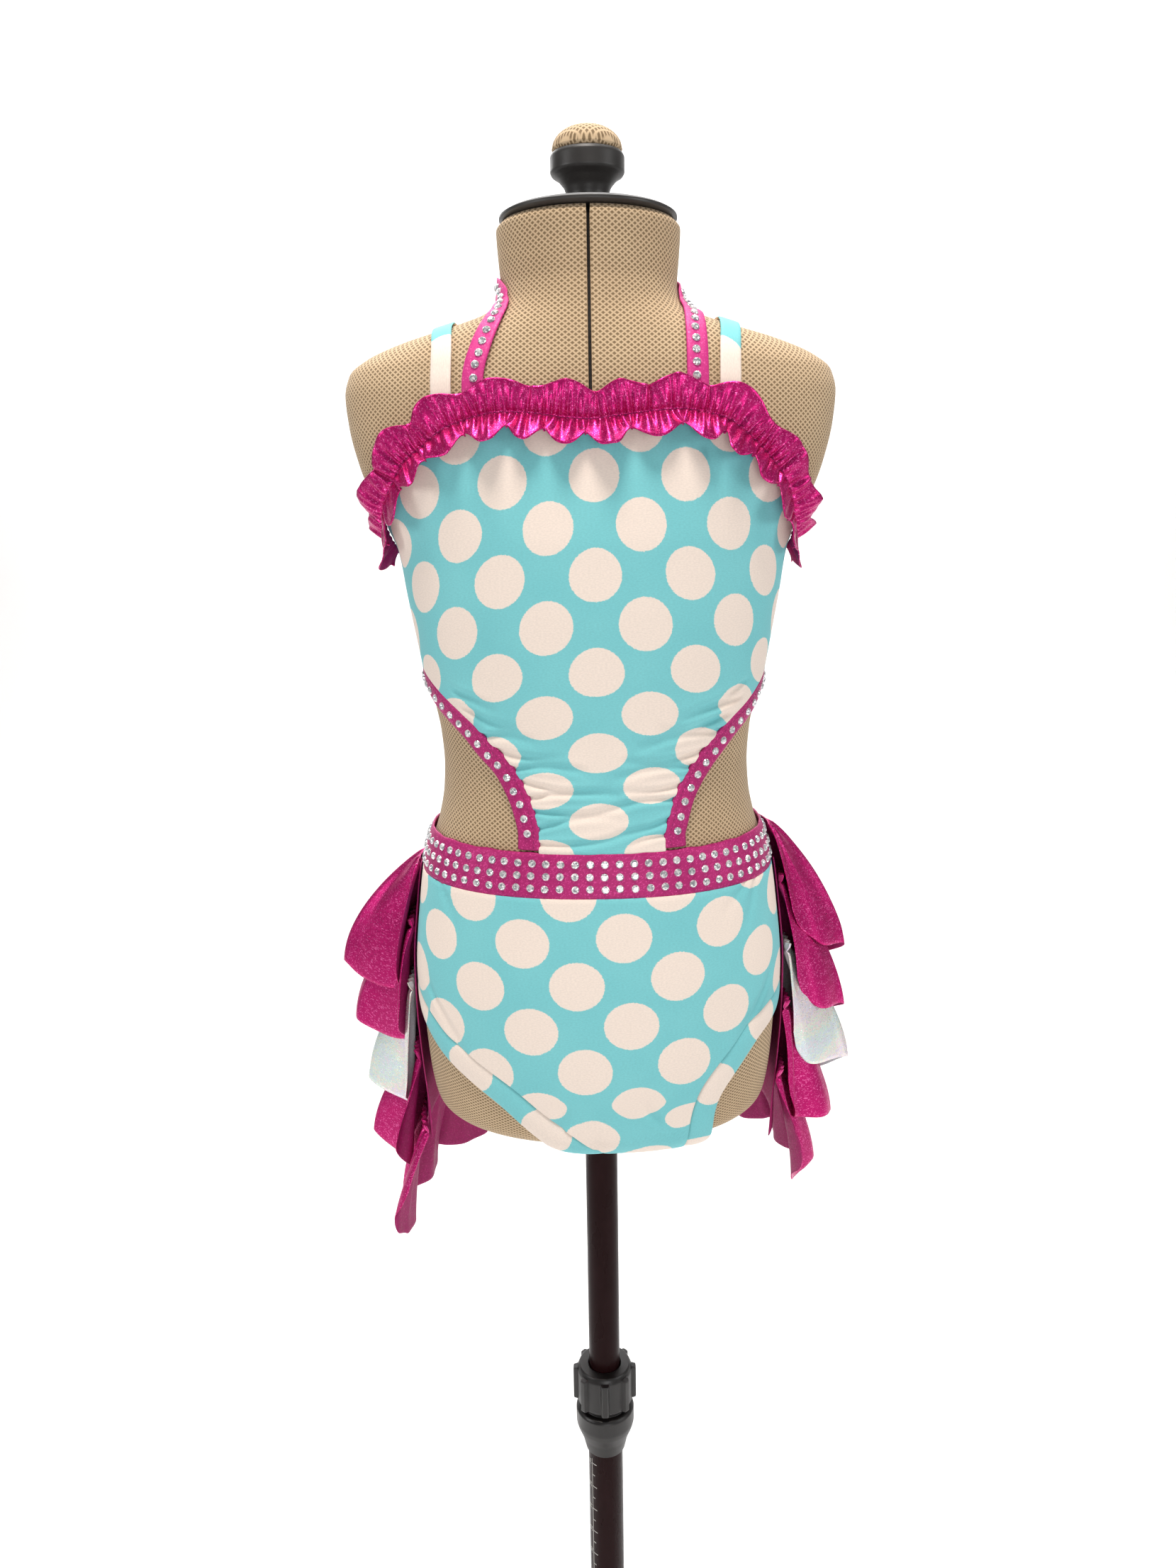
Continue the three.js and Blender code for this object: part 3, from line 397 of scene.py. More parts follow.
def shell(grid, thickness, closed=False, maps=None, period=0):
    """Closed thin shell about a grid of points, with a rounded rim"""
    rows, columns = grid.shape[:2]
    if closed:
        across = np.roll(grid, -1, axis=1) - np.roll(grid, 1, axis=1)
    else:
        across = np.gradient(grid, axis=1)
    normal = unit(np.cross(across, np.gradient(grid, axis=0)))
    if np.sum(normal * grid * (1, 1, 0)) < 0:
        normal = -normal
    out = np.zeros_like(grid)
    out[0] += unit(grid[0] - grid[1])
    out[-1] += unit(grid[-1] - grid[-2])
    if not closed:
        out[:, 0] += unit(grid[:, 0] - grid[:, 1])
        out[:, -1] += unit(grid[:, -1] - grid[:, -2])
    index = np.arange(rows * columns).reshape(rows, columns)
    right = np.roll(index, -1, axis=1) if closed else index[:, 1:]
    left = index if closed else index[:, :-1]
    outer = np.stack([left[:-1], right[:-1], right[1:], left[1:]], axis=-1).reshape(-1, 4)
    size = rows * columns
    inner = outer[:, ::-1] + size
    if closed:
        loops = [index[0], index[-1][::-1]]
    else:
        loops = [np.concatenate([index[0], index[1:, -1], index[-1, -2::-1], index[-2:0:-1, 0]])]
    rim, rim_quads, start = [], [], 2 * size
    for loop in loops:
        here, after = loop, np.roll(loop, -1)
        middle = start + np.arange(len(loop))
        beyond = np.roll(middle, -1)
        rim_quads.append(np.stack([after, here, middle, beyond], axis=1))
        rim_quads.append(np.stack([beyond, middle, here + size, after + size], axis=1))
        rim.append(loop)
        start += len(loop)
    edge = np.concatenate(rim)
    flat = grid.reshape(-1, 3)
    half = normal.reshape(-1, 3) * thickness / 2
    rim_points = flat[edge] + unit(out.reshape(-1, 3)[edge]) * thickness * RIM_ROUND
    source = np.concatenate([np.arange(size), np.arange(size), edge])
    return {
        "points": np.vstack([flat + half, flat - half, rim_points]),
        "quads": np.vstack([outer, inner] + rim_quads),
        "lining": np.arange(len(outer), 2 * len(outer)),
        "maps": {name: uv.reshape(-1, 2)[source] for name, uv in (maps or {}).items()},
        "period": period,
    }


def facing_out(part):
    """Turns a closed part's faces so that they point outwards"""
    points = part["points"]
    volume = 0
    for name in ("quads", "tris"):
        faces = part.get(name)
        if faces is None or not len(faces):
            continue
        for k in range(1, faces.shape[1] - 1):
            a, b, c = points[faces[:, 0]], points[faces[:, k]], points[faces[:, k + 1]]
            volume += np.sum(a * np.cross(b, c))
    if volume < 0:
        for name in ("quads", "tris"):
            if part.get(name) is not None:
                part[name] = part[name][:, ::-1]
    return part


def piece(name, parts, finishes, body, replaces=(), sharp=None):
    """One object from parts in millimetres, riding on a body of the frame"""
    finishes = finishes if isinstance(finishes, (list, tuple)) else [finishes]
    points, faces, shades, start = [], [], [], 0
    map_names = list(parts[0].get("maps", {}))
    corners = {key: [] for key in map_names}
    for part in parts:
        facing_out(part)
        points.append(part["points"])
        for kind in ("quads", "tris"):
            block = part.get(kind)
            if block is None or not len(block):
                continue
            faces += (block + start).tolist()
            shade = np.full(len(block), part.get("shade", 0))
            if kind == "quads" and "shades" in part:
                shade = part["shades"].astype(int)
            if kind == "quads" and "lining" in part and len(finishes) > 1:
                shade[part["lining"]] = 1
            shades.append(shade)
            for key in map_names:
                uv = part["maps"][key][block]
                if part.get("period"):
                    period = part["period"] / (PRINT_CELL if key == "print" else 1)
                    wrap = np.ptp(uv[..., 0], axis=1) > period / 2
                    low = uv[..., 0] < uv[..., 0].max(axis=1, keepdims=True) - period / 2
                    uv = uv.copy()
                    uv[..., 0] += period * (low & wrap[:, None])
                corners[key].append(uv.reshape(-1, 2))
        start += len(part["points"])
    mesh = bpy.data.meshes.new(name)
    mesh.from_pydata((np.vstack(points) * MM).tolist(), [], faces)
    for key in map_names:
        layer = mesh.uv_layers.new(name=key)
        layer.uv.foreach_set("vector", np.vstack(corners[key]).ravel())
    mesh.polygons.foreach_set("use_smooth", [True] * len(faces))
    for finish in finishes:
        mesh.materials.append(finish)
    mesh.polygons.foreach_set("material_index", np.concatenate(shades).astype(int))
    mesh.update()
    if sharp:
        mesh.set_sharp_from_angle(angle=math.radians(sharp))
    made = new_object(name, mesh)
    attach(made, body)
    if replaces:
        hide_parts(*replaces)
    return made


def lathe(profile, sides, middle=(0, 0), swell=None):
    """Solid of revolution from radius and height pairs that start and end on the axis, or close"""
    profile = np.array(profile, float)
    ring_closed = np.allclose(profile[0], profile[-1])
    if ring_closed:
        profile = profile[:-1]
    turn = np.linspace(0, ROUND, sides, endpoint=False)
    points, rings = [], []
    for k, (radius, z) in enumerate(profile):
        if radius == 0:
            rings.append(np.full(sides, len(points)))
            points.append((middle[0], middle[1], z))
            continue
        wide = radius + (swell(k, turn) if swell else 0)
        rings.append(len(points) + np.arange(sides))
        spot = np.stack([middle[0] + wide * np.cos(turn), middle[1] + wide * np.sin(turn)], axis=1)
        points += [(x, y, z) for x, y in spot]
    quads, tris = [], []
    count = len(rings)
    for k in range(count if ring_closed else count - 1):
        low, high = rings[k], rings[(k + 1) % count]
        low_next, high_next = np.roll(low, -1), np.roll(high, -1)
        if low[0] == low[1]:
            tris.append(np.stack([low, high, high_next], axis=1))
        elif high[0] == high[1]:
            tris.append(np.stack([low, high, low_next], axis=1))
        else:
            quads.append(np.stack([low, high, high_next, low_next], axis=1))
    part = {"points": np.array(points), "quads": np.vstack(quads)}
    if tris:
        part["tris"] = np.vstack(tris)
    return part


ROUND_REACH = 0.3  # most of an edge that a rounded corner takes
ROUND_GUARD = 1.5


def rounded(profile, radius, steps=4):
    """Profile with its corners rounded, and a point beyond each round to keep it tight"""
    points = [np.array(p, float) for p in profile]
    closes = np.allclose(points[0], points[-1])
    made = [] if closes else [points[0]]
    last = len(points) - 1
    for k in range(0 if closes else 1, last):
        before = points[k - 1] if k else points[last - 1]
        here, after = points[k], points[k + 1]
        back, on = before - here, after - here
        reach = min(radius, ROUND_REACH * np.linalg.norm(back), ROUND_REACH * np.linalg.norm(on))
        start, end = here + unit(back) * reach, here + unit(on) * reach
        made.append(here + unit(back) * reach * ROUND_GUARD)
        for u in np.linspace(0, 1, steps + 1):
            made.append((1 - u) ** 2 * start + 2 * u * (1 - u) * here + u * u * end)
        made.append(here + unit(on) * reach * ROUND_GUARD)
    made.append(made[0] if closes else points[-1])
    return made


def tube_faces(rings, sides):
    """Quads between rings of points, and caps to two more points, over the first and last ring"""
    index = np.arange(rings * sides).reshape(rings, sides)
    after = np.roll(index, -1, axis=1)
    quads = np.stack([index[:-1], after[:-1], after[1:], index[1:]], axis=-1).reshape(-1, 4)
    first = np.full(sides, rings * sides)
    caps = [
        np.stack([first, after[0], index[0]], axis=1),
        np.stack([first + 1, index[-1], after[-1]], axis=1),
    ]
    return quads, np.vstack(caps)


def pipe(stops, radius, sides=28, count=60):
    """Closed round bar along a smooth line"""
    line, _ = curve_through(np.array(stops, float), count)
    run = unit(np.gradient(line, axis=0))
    side = unit(np.cross(run, (0, 0, 1.0)))
    top = np.cross(side, run)
    turn = np.linspace(0, ROUND, sides, endpoint=False)
    ring = side[:, None] * np.cos(turn)[:, None] + top[:, None] * np.sin(turn)[:, None]
    points = (line[:, None] + ring * radius).reshape(-1, 3)
    quads, caps = tube_faces(count + 1, sides)
    return {"points": np.vstack([points, line[:1], line[-1:]]), "quads": quads, "tris": caps}


# Finishes

def srgb(text):
    """Linear colour of an sRGB hex value"""
    values = [int(text[k : k + 2], 16) / 255 for k in (1, 3, 5)]
    linear = [c / 12.92 if c <= 0.04045 else ((c + 0.055) / 1.055) ** 2.4 for c in values]
    return (*linear, 1.0)


def feed(node, inputs):
    """Gives a node's inputs their values, or links them to a socket or a node's first output"""
    for key, value in inputs.items():
        if isinstance(value, bpy.types.Node):
            value = value.outputs[0]
        if isinstance(value, bpy.types.NodeSocket):
            node.id_data.links.new(value, node.inputs[key])
        else:
            node.inputs[key].default_value = value


def add(tree, kind, inputs=None, **settings):
    """Adds a node: settings are its own, inputs are its sockets' values or what feeds them"""
    node = tree.nodes.new(kind)
    for key, value in settings.items():
        setattr(node, key, value)
    feed(node, inputs or {})
    return node


def start_finish(name, shader):
    """New material with a Principled shader whose even values are set on its own sockets"""
    finish = bpy.data.materials.new(name)
    finish.use_nodes = True
    surface = finish.node_tree.nodes["Principled BSDF"]
    feed(surface, shader)
    return finish, finish.node_tree, surface


# Sockets of a mix of two colours
PART, FIRST, SECOND, MIXED = 0, 6, 7, 2

DOT_RADIUS = 0.273  # of the print's cell, which is about 52 mm wide
DOT_EDGE = (0.014, 0.006)  # where its ragged edge ends and starts, past the radius
HALF_CELL = (0.5, 0.5, 0.5)
AQUA, AQUA_SHADE, DOT = srgb("#7FCBCF"), srgb("#72C0C6"), srgb("#EBDCD0")


def dotted_knit():
    """Printed nylon and elastane knit, brushed: matt with a soft bloom, crisp round dots"""
    finish, tree, surface = start_finish("dotted_stretch_knit", {
        "Roughness": 0.72, "Sheen Weight": 0.06, "Sheen Roughness": 0.4,
        "Specular IOR Level": 0.3,
    })
    cell = add(tree, "ShaderNodeUVMap", uv_map="print")
    distances = []
    for shift in (0.0, 0.5):
        place = add(
            tree, "ShaderNodeVectorMath", {0: cell, 1: (shift, shift, 0.5)}, operation="ADD"
        )
        place = add(tree, "ShaderNodeVectorMath", {0: place}, operation="FRACTION")
        place = add(tree, "ShaderNodeVectorMath", {0: place, 1: HALF_CELL}, operation="SUBTRACT")
        length = add(tree, "ShaderNodeVectorMath", {0: place}, operation="LENGTH")
        distances.append(length.outputs["Value"])
    nearest = add(tree, "ShaderNodeMath", dict(enumerate(distances)), operation="MINIMUM")
    weave = add(tree, "ShaderNodeUVMap", uv_map="weave")
    ragged = add(tree, "ShaderNodeTexNoise", {"Vector": weave, "Scale": 0.9, "Detail": 1.0})
    edge = add(
        tree, "ShaderNodeMath", {0: ragged.outputs["Fac"], 1: 0.02, 2: nearest},
        operation="MULTIPLY_ADD",
    )
    inside = add(tree, "ShaderNodeMapRange", {
        "Value": edge, "From Min": DOT_RADIUS + DOT_EDGE[0], "From Max": DOT_RADIUS + DOT_EDGE[1],
    })
    patchy = add(tree, "ShaderNodeTexNoise", {"Vector": weave, "Scale": 0.03, "Detail": 3.0})
    ground = add(
        tree, "ShaderNodeMix", {PART: patchy.outputs["Fac"], FIRST: AQUA_SHADE, SECOND: AQUA},
        data_type="RGBA",
    )
    printed = add(
        tree, "ShaderNodeMix", {PART: inside, FIRST: ground.outputs[MIXED], SECOND: DOT},
        data_type="RGBA",
    )
    grain = add(tree, "ShaderNodeMapping", {"Vector": weave, "Scale": (0.7, 1.5, 1.0)})
    stitches = add(tree, "ShaderNodeTexNoise", {"Vector": grain, "Scale": 1.0, "Detail": 2.0})
    depth = add(tree, "ShaderNodeMapRange", {
        "Value": stitches.outputs["Fac"], "From Min": 0.35, "From Max": 0.65,
        "To Min": 0.94, "To Max": 1.03,
    })
    grey = add(tree, "ShaderNodeCombineColor", {"Red": depth, "Green": depth, "Blue": depth})
    colour = add(
        tree, "ShaderNodeMix", {PART: 1.0, FIRST: printed.outputs[MIXED], SECOND: grey},
        data_type="RGBA", blend_type="MULTIPLY",
    )
    bump = add(
        tree, "ShaderNodeBump",
        {"Height": stitches.outputs["Fac"], "Strength": 0.25, "Distance": 0.15 * MM},
    )
    feed(surface, {"Base Color": colour.outputs[MIXED], "Normal": bump})
    return finish


def foil_knit(name, colours, roughness, metallic, speck, bump_depth):
    """Knit with a broken metallic foil: tiny bright flecks over a darker ground, sharp glints
    painted into the colour
    """
    deep, bright, painted_glint = (srgb(text) for text in colours)
    finish, tree, surface = start_finish(name, {"Metallic": metallic})
    weave = add(tree, "ShaderNodeUVMap", uv_map="weave")
    flecks = add(tree, "ShaderNodeTexVoronoi", {"Vector": weave, "Scale": 1.0 / speck})
    tone = add(tree, "ShaderNodeSeparateColor", {"Color": flecks.outputs["Color"]})
    cloud = add(tree, "ShaderNodeTexNoise", {"Vector": weave, "Scale": 0.05, "Detail": 3.0})
    ground = add(
        tree, "ShaderNodeMix", {PART: cloud.outputs["Fac"], FIRST: deep, SECOND: bright},
        data_type="RGBA",
    )
    # The brightest flecks take the glint colour: painted glints
    painted_glint_mask = add(
        tree, "ShaderNodeMapRange",
        {"Value": tone.outputs["Red"], "From Min": 0.78, "From Max": 1.0},
    )
    colour = add(
        tree, "ShaderNodeMix", {PART: painted_glint_mask, FIRST: ground.outputs[MIXED], SECOND: painted_glint},
        data_type="RGBA",
    )
    rough = add(tree, "ShaderNodeMapRange", {
        "Value": tone.outputs["Green"], "To Min": roughness - 0.1, "To Max": roughness + 0.14,
    })
    height = add(
        tree, "ShaderNodeMath", {0: tone.outputs["Blue"], 1: flecks.outputs["Distance"]},
        operation="ADD",
    )
    bump = add(
        tree, "ShaderNodeBump", {"Height": height, "Strength": 0.22, "Distance": bump_depth * MM}
    )
    feed(surface, {"Base Color": colour.outputs[MIXED], "Roughness": rough, "Normal": bump})
    return finish


PASTELS = (
    (0.34, "#E4E0E6"), (0.86, "#E2E6E8"), (0.44, "#D4E0EC"), (0.52, "#D6ECE2"),
    (0.6, "#EAEADA"), (0.68, "#F0DCE2"), (0.76, "#DEDAEC"),
)


def silver_foil():
    """Holographic silver foil on knit: a pale mirror broken into grains of pastel colour"""
    finish, tree, surface = start_finish("holographic_silver_foil", {"Metallic": 0.75})
    weave = add(tree, "ShaderNodeUVMap", uv_map="weave")
    grains = add(tree, "ShaderNodeTexVoronoi", {"Vector": weave, "Scale": 1.6})
    tone = add(tree, "ShaderNodeSeparateColor", {"Color": grains.outputs["Color"]})
    sweep = add(tree, "ShaderNodeTexNoise", {"Vector": weave, "Scale": 0.035, "Detail": 2.0})
    hue = add(
        tree, "ShaderNodeMath", {0: tone.outputs["Red"], 1: 0.22, 2: sweep.outputs["Fac"]},
        operation="MULTIPLY_ADD",
    )
    ramp = add(tree, "ShaderNodeValToRGB", {"Fac": hue})
    stops = ramp.color_ramp.elements
    for stop, (place, text) in zip(list(stops), PASTELS):
        stop.position, stop.color = place, srgb(text)
    for place, text in PASTELS[2:]:
        stops.new(place).color = srgb(text)
    rough = add(
        tree, "ShaderNodeMapRange", {"Value": tone.outputs["Green"], "To Min": 0.24, "To Max": 0.5}
    )
    bump = add(
        tree, "ShaderNodeBump",
        {"Height": tone.outputs["Blue"], "Strength": 0.4, "Distance": 0.15 * MM},
    )
    feed(surface, {"Base Color": ramp, "Roughness": rough, "Normal": bump})
    return finish


MESH_CELL = 2.3  # diamond cell of the form's cover, drawn a little coarse so that it shows
MESH_TURN = 38  # degrees that its yarns lean either way


def form_mesh():
    """Beige stretch mesh over the form's panels: a diamond net of pale yarn over a darker ground"""
    finish, tree, surface = start_finish(
        "beige_form_mesh", {"Roughness": 0.88, "Sheen Weight": 0.08, "Specular IOR Level": 0.25}
    )
    weave = add(tree, "ShaderNodeUVMap", uv_map="weave")
    net = []
    for turn in (MESH_TURN, -MESH_TURN):
        laid = add(
            tree, "ShaderNodeMapping", {"Vector": weave, "Rotation": (0, 0, math.radians(turn))}
        )
        yarn = add(
            tree, "ShaderNodeTexWave",
            {"Vector": laid, "Scale": math.pi / 10 / MESH_CELL, "Distortion": 0.6,
             "Detail": 1.0, "Detail Scale": 3.0},
            wave_type="BANDS", bands_direction="Y",
        )
        net.append(yarn.outputs["Fac"])
    height = add(tree, "ShaderNodeMath", dict(enumerate(net)), operation="MAXIMUM")
    fluff = add(tree, "ShaderNodeTexNoise", {"Vector": weave, "Scale": 0.02, "Detail": 4.0})
    yarn_colour = add(
        tree, "ShaderNodeMix",
        {PART: fluff.outputs["Fac"], FIRST: srgb("#BDA283"), SECOND: srgb("#D4BB98")},
        data_type="RGBA",
    )
    hollow = add(
        tree, "ShaderNodeMapRange", {"Value": height, "From Min": 0.45, "From Max": 0.9}
    )
    colour = add(
        tree, "ShaderNodeMix",
        {PART: hollow, FIRST: srgb("#7F6A4F"), SECOND: yarn_colour.outputs[MIXED]},
        data_type="RGBA",
    )
    bump = add(
        tree, "ShaderNodeBump", {"Height": height, "Strength": 0.5, "Distance": 0.35 * MM}
    )
    feed(surface, {"Base Color": colour.outputs[MIXED], "Normal": bump})
    return finish


WORN_GAIN = 1.8  # how much paler the worn spots of a moulding are


def moulded_plastic(name, text, roughness):
    """Moulded ABS: even charcoal with a fine spark-eroded grain and slightly worn high spots"""
    finish, tree, surface = start_finish(name, {})
    place = add(tree, "ShaderNodeTexCoord").outputs["Object"]
    grain = add(tree, "ShaderNodeTexNoise", {"Vector": place, "Scale": 1400.0, "Detail": 2.0})
    cloud = add(tree, "ShaderNodeTexNoise", {"Vector": place, "Scale": 40.0, "Detail": 4.0})
    worn = [min(1, c * WORN_GAIN) for c in srgb(text)[:3]] + [1]
    part = add(tree, "ShaderNodeMapRange", {
        "Value": cloud.outputs["Fac"], "From Min": 0.4, "From Max": 0.75, "To Max": 0.6,
    })
    colour = add(
        tree, "ShaderNodeMix", {PART: part, FIRST: srgb(text), SECOND: worn}, data_type="RGBA"
    )
    rough = add(tree, "ShaderNodeMapRange", {
        "Value": cloud.outputs["Fac"], "From Min": 0.3, "From Max": 0.7,
        "To Min": roughness - 0.08, "To Max": roughness + 0.1,
    })
    bump = add(
        tree, "ShaderNodeBump",
        {"Height": grain.outputs["Fac"], "Strength": 0.3, "Distance": 0.08 * MM},
    )
    feed(surface, {"Base Color": colour.outputs[MIXED], "Roughness": rough, "Normal": bump})
    return finish


def stand_enamel():
    """Stoved enamel on drawn steel tube: near black with a warm cast, a dull sheen, faint scuffs"""
    finish, tree, surface = start_finish("stoved_black_enamel", {"Specular IOR Level": 0.06})
    place = add(tree, "ShaderNodeTexCoord").outputs["Object"]
    laid = add(tree, "ShaderNodeMapping", {"Vector": place, "Scale": (90, 90, 30)})
    scuffs = add(tree, "ShaderNodeTexNoise", {"Vector": laid, "Scale": 1.0, "Detail": 5.0})
    part = add(
        tree, "ShaderNodeMapRange",
        {"Value": scuffs.outputs["Fac"], "From Min": 0.5, "From Max": 0.8},
    )
    colour = add(
        tree, "ShaderNodeMix", {PART: part, FIRST: srgb("#210F10"), SECOND: srgb("#271416")},
        data_type="RGBA",
    )
    rough = add(tree, "ShaderNodeMapRange", {
        "Value": scuffs.outputs["Fac"], "From Min": 0.3, "From Max": 0.7,
        "To Min": 0.22, "To Max": 0.38,
    })
    feed(surface, {"Base Color": colour.outputs[MIXED], "Roughness": rough})
    return finish


def cut_glass():
    """Foil-backed cut glass: the bright mirror behind the facets painted into the colour as white
    or grey cells, a painted reflection
    """
    finish, tree, surface = start_finish(
        "foil_backed_cut_glass_painted_sparkle", {"Metallic": 0.5, "Roughness": 0.08}
    )
    place = add(tree, "ShaderNodeTexCoord").outputs["Object"]
    # Random cells painted white or grey: painted reflections of the mirror behind the facets
    facets = add(tree, "ShaderNodeTexVoronoi", {"Vector": place, "Scale": 900.0})
    tone = add(tree, "ShaderNodeSeparateColor", {"Color": facets.outputs["Color"]})
    part = add(
        tree, "ShaderNodeMapRange",
        {"Value": tone.outputs["Red"], "From Min": 0.25, "From Max": 0.75},
    )
    colour = add(
        tree, "ShaderNodeMix", {PART: part, FIRST: srgb("#A9ADB3"), SECOND: srgb("#FFFFFF")},
        data_type="RGBA",
    )
    feed(surface, {"Base Color": colour.outputs[MIXED]})
    return finish


THREAD_SHADE = 0.6


def plain_thread(name, text):
    """Spun polyester thread: matt with a light twist"""
    finish, tree, surface = start_finish(name, {"Roughness": 0.6})
    place = add(tree, "ShaderNodeTexCoord").outputs["Object"]
    twist = add(tree, "ShaderNodeTexNoise", {"Vector": place, "Scale": 900.0, "Detail": 1.0})
    dark = [c * THREAD_SHADE for c in srgb(text)[:3]] + [1]
    colour = add(
        tree, "ShaderNodeMix", {PART: twist.outputs["Fac"], FIRST: dark, SECOND: srgb(text)},
        data_type="RGBA",
    )
    feed(surface, {"Base Color": colour.outputs[MIXED]})
    return finish


DOTTED = dotted_knit()
# Foiled knits: deep, bright and painted glint colours, then roughness, metal, fleck and bump in mm
MAGENTA_FOIL = foil_knit(
    "magenta_foil_knit", ("#A60C5E", "#CC1674", "#F06AB0"), 0.34, 0.75, 0.5, 0.12
)
BAND_FOIL = foil_knit(
    "magenta_band_knit", ("#A01260", "#B81E72", "#D84492"), 0.5, 0.3, 0.6, 0.2
)
REVERSE_KNIT = foil_knit(
    "magenta_knit_reverse", ("#8A0A50", "#A01062", "#B41E72"), 0.65, 0.1, 0.7, 0.2
)
HALTER_KNIT = foil_knit(
    "bright_pink_knit", ("#C2207A", "#D23088", "#E0529C"), 0.55, 0.15, 0.7, 0.2
)
SILVER_FOIL = silver_foil()
REVERSE_WHITE = plain_thread("white_knit_reverse", "#C9CCD0")
FORM_MESH = form_mesh()
CHARCOAL = moulded_plastic("charcoal_moulded_plastic", "#2A2827", 0.42)
COLLAR_BLACK = moulded_plastic("black_moulded_plastic", "#110E0E", 0.4)
# Near black floor of an open gap in the form: painted shade for the dark seen into the gap
GAP_SHADE = moulded_plastic("black_gap_lining", "#0A0909", 0.8)
ENAMEL = stand_enamel()
GLASS = cut_glass()
MAGENTA_THREAD = plain_thread("magenta_thread", "#8E0A5E")
RULER_WHITE = plain_thread("white_ruler_print", "#C9C7C2")


# Dress form: padded panels under a stretch mesh, with open gaps where the panels adjust

GAP_SIDES = (-90, 0, 90)  # the fourth gap, at the back, is where the columns start and end
GAP_OFFSETS = np.array((-2.0, -1.15, -0.9, 0.9, 1.15, 2.0))  # mm either side of a gap's middle
GAP_EDGE = 1.0
GAP_DEPTH = 3.2
GAP_MARGIN = 3.4  # degrees beside a gap without other columns
GAP_SPREAD = 2.6  # degrees, the most its own columns take
SIDE_GAP_TOP = 1046
GAP_FOOT = 650
GAP_FADE = 6
SHOULDER_SEAM_FOOT, SHOULDER_SEAM_TOP, SHOULDER_SEAM_RISE = 1116, 1168, 0.7
FORM_LEVELS = 300
FORM_COLUMNS = 228
NECK_TOP = 1215
NECK_EDGE = 1208
FORM_FOOT = 564
SOCKET_TOP = 720


def form_columns():
    """Azimuth and sideways offset in mm of each column, from the centre back round"""
    plain = unwrap(turn_at(np.arange(FORM_COLUMNS) * 360 / FORM_COLUMNS), 0)
    sides = np.array(GAP_SIDES + (180, -180))
    plain = plain[np.abs(plain[:, None] - sides).min(axis=1) > GAP_MARGIN]
    half = len(GAP_OFFSETS) // 2
    middle = [plain, np.full(half, -180), np.full(half, 180)]
    offset = [0 * plain, GAP_OFFSETS[half:], GAP_OFFSETS[:half]]
    for side in GAP_SIDES:
        middle.append(np.full(2 * half, side))
        offset.append(GAP_OFFSETS)
    middle, offset = np.concatenate(middle), np.concatenate(offset)
    order = np.lexsort((offset, middle))
    return middle[order], offset[order]


def make_form():
    neck = np.linspace(NECK_TOP, NECK_EDGE + 1, 8)
    trunk = np.linspace(NECK_EDGE - 1, FORM_FOOT + 2, FORM_LEVELS)
    v = np.concatenate([neck, trunk, [FORM_FOOT]])[:, None]
    middle, offset = form_columns()
    reach = np.linalg.norm(body_point(middle, v)[..., :2], axis=-1)
    most = np.radians(GAP_SPREAD) / GAP_OFFSETS[-1]
    t = middle + np.degrees(offset * np.minimum(1 / reach, most))
    at_side = np.abs(middle) == 90
    inside = (np.abs(offset) > 0) & (np.abs(offset) < GAP_EDGE)
    opening = np.clip((SIDE_GAP_TOP - v) / GAP_FADE, 0, 1)
    opening = np.where(at_side, opening, 1.0) * (v > GAP_FOOT)
    seam = inside & at_side & (v > SHOULDER_SEAM_FOOT) & (v < SHOULDER_SEAM_TOP)
    sink = np.where(inside, opening * GAP_DEPTH, 0) - np.where(seam, SHOULDER_SEAM_RISE, 0)
    grid = body_point(t, v) - body_normal(t, v) * sink[..., None]
    rings, sides = grid.shape[:2]
    mouth = grid[-1] * (1, 1, 0) + (0, 0, SOCKET_TOP)
    points = np.vstack([grid.reshape(-1, 3), mouth, [(0, 0, NECK_TOP), (0, 0, SOCKET_TOP)]])
    quads, caps = tube_faces(rings + 1, sides)
    between = inside & np.roll(inside, -1)
    weave = np.stack([ring_arc(t, v, 0), v + 0 * t], axis=-1).reshape(-1, 2)
    part = {
        "points": points, "quads": quads, "tris": caps,
        "maps": {"weave": np.vstack([weave, weave[-sides:], np.zeros((2, 2))])},
        # Faces inside an open gap take the second finish, the painted gap shade
        "shades": (between & (opening > 0.5)).ravel(),
    }
    piece("form_cover", [part], [FORM_MESH, GAP_SHADE], "form", ["form_body"])


CAP_PROFILE = (
    (0, 1215.4), (49, 1215.4), (51, 1216.8), (51, 1218.3), (48, 1220), (20, 1221), (0, 1221),
)
KNOB_PROFILE = (
    (0, 1221.3), (12.5, 1221.3), (11.8, 1226), (11.9, 1230), (13.5, 1234.5), (17, 1238.5),
    (20.4, 1240.6), (21.2, 1242), (21.2, 1250), (20, 1252), (0, 1252),
)
PAD_PROFILE = (
    (0, 1252.3), (19, 1252.3), (20, 1254), (19.2, 1257.5), (16.2, 1261.5), (11, 1264.6),
    (5.5, 1266), (0, 1266.3),
)
PAD_STRETCH = 1.1  # the mesh is drawn tight over the pad


def smooth_profile(profile, sharp_ends=1, count=60):
    """Profile with its middle stretch drawn as a smooth curve"""
    stops = np.array([(r, z, 0) for r, z in profile[sharp_ends:]], float)
    line, _ = curve_through(stops, count)
    line[-1, 0] = stops[-1, 0]
    return list(profile[:sharp_ends]) + [(max(r, 0), z) for r, z, _ in line]


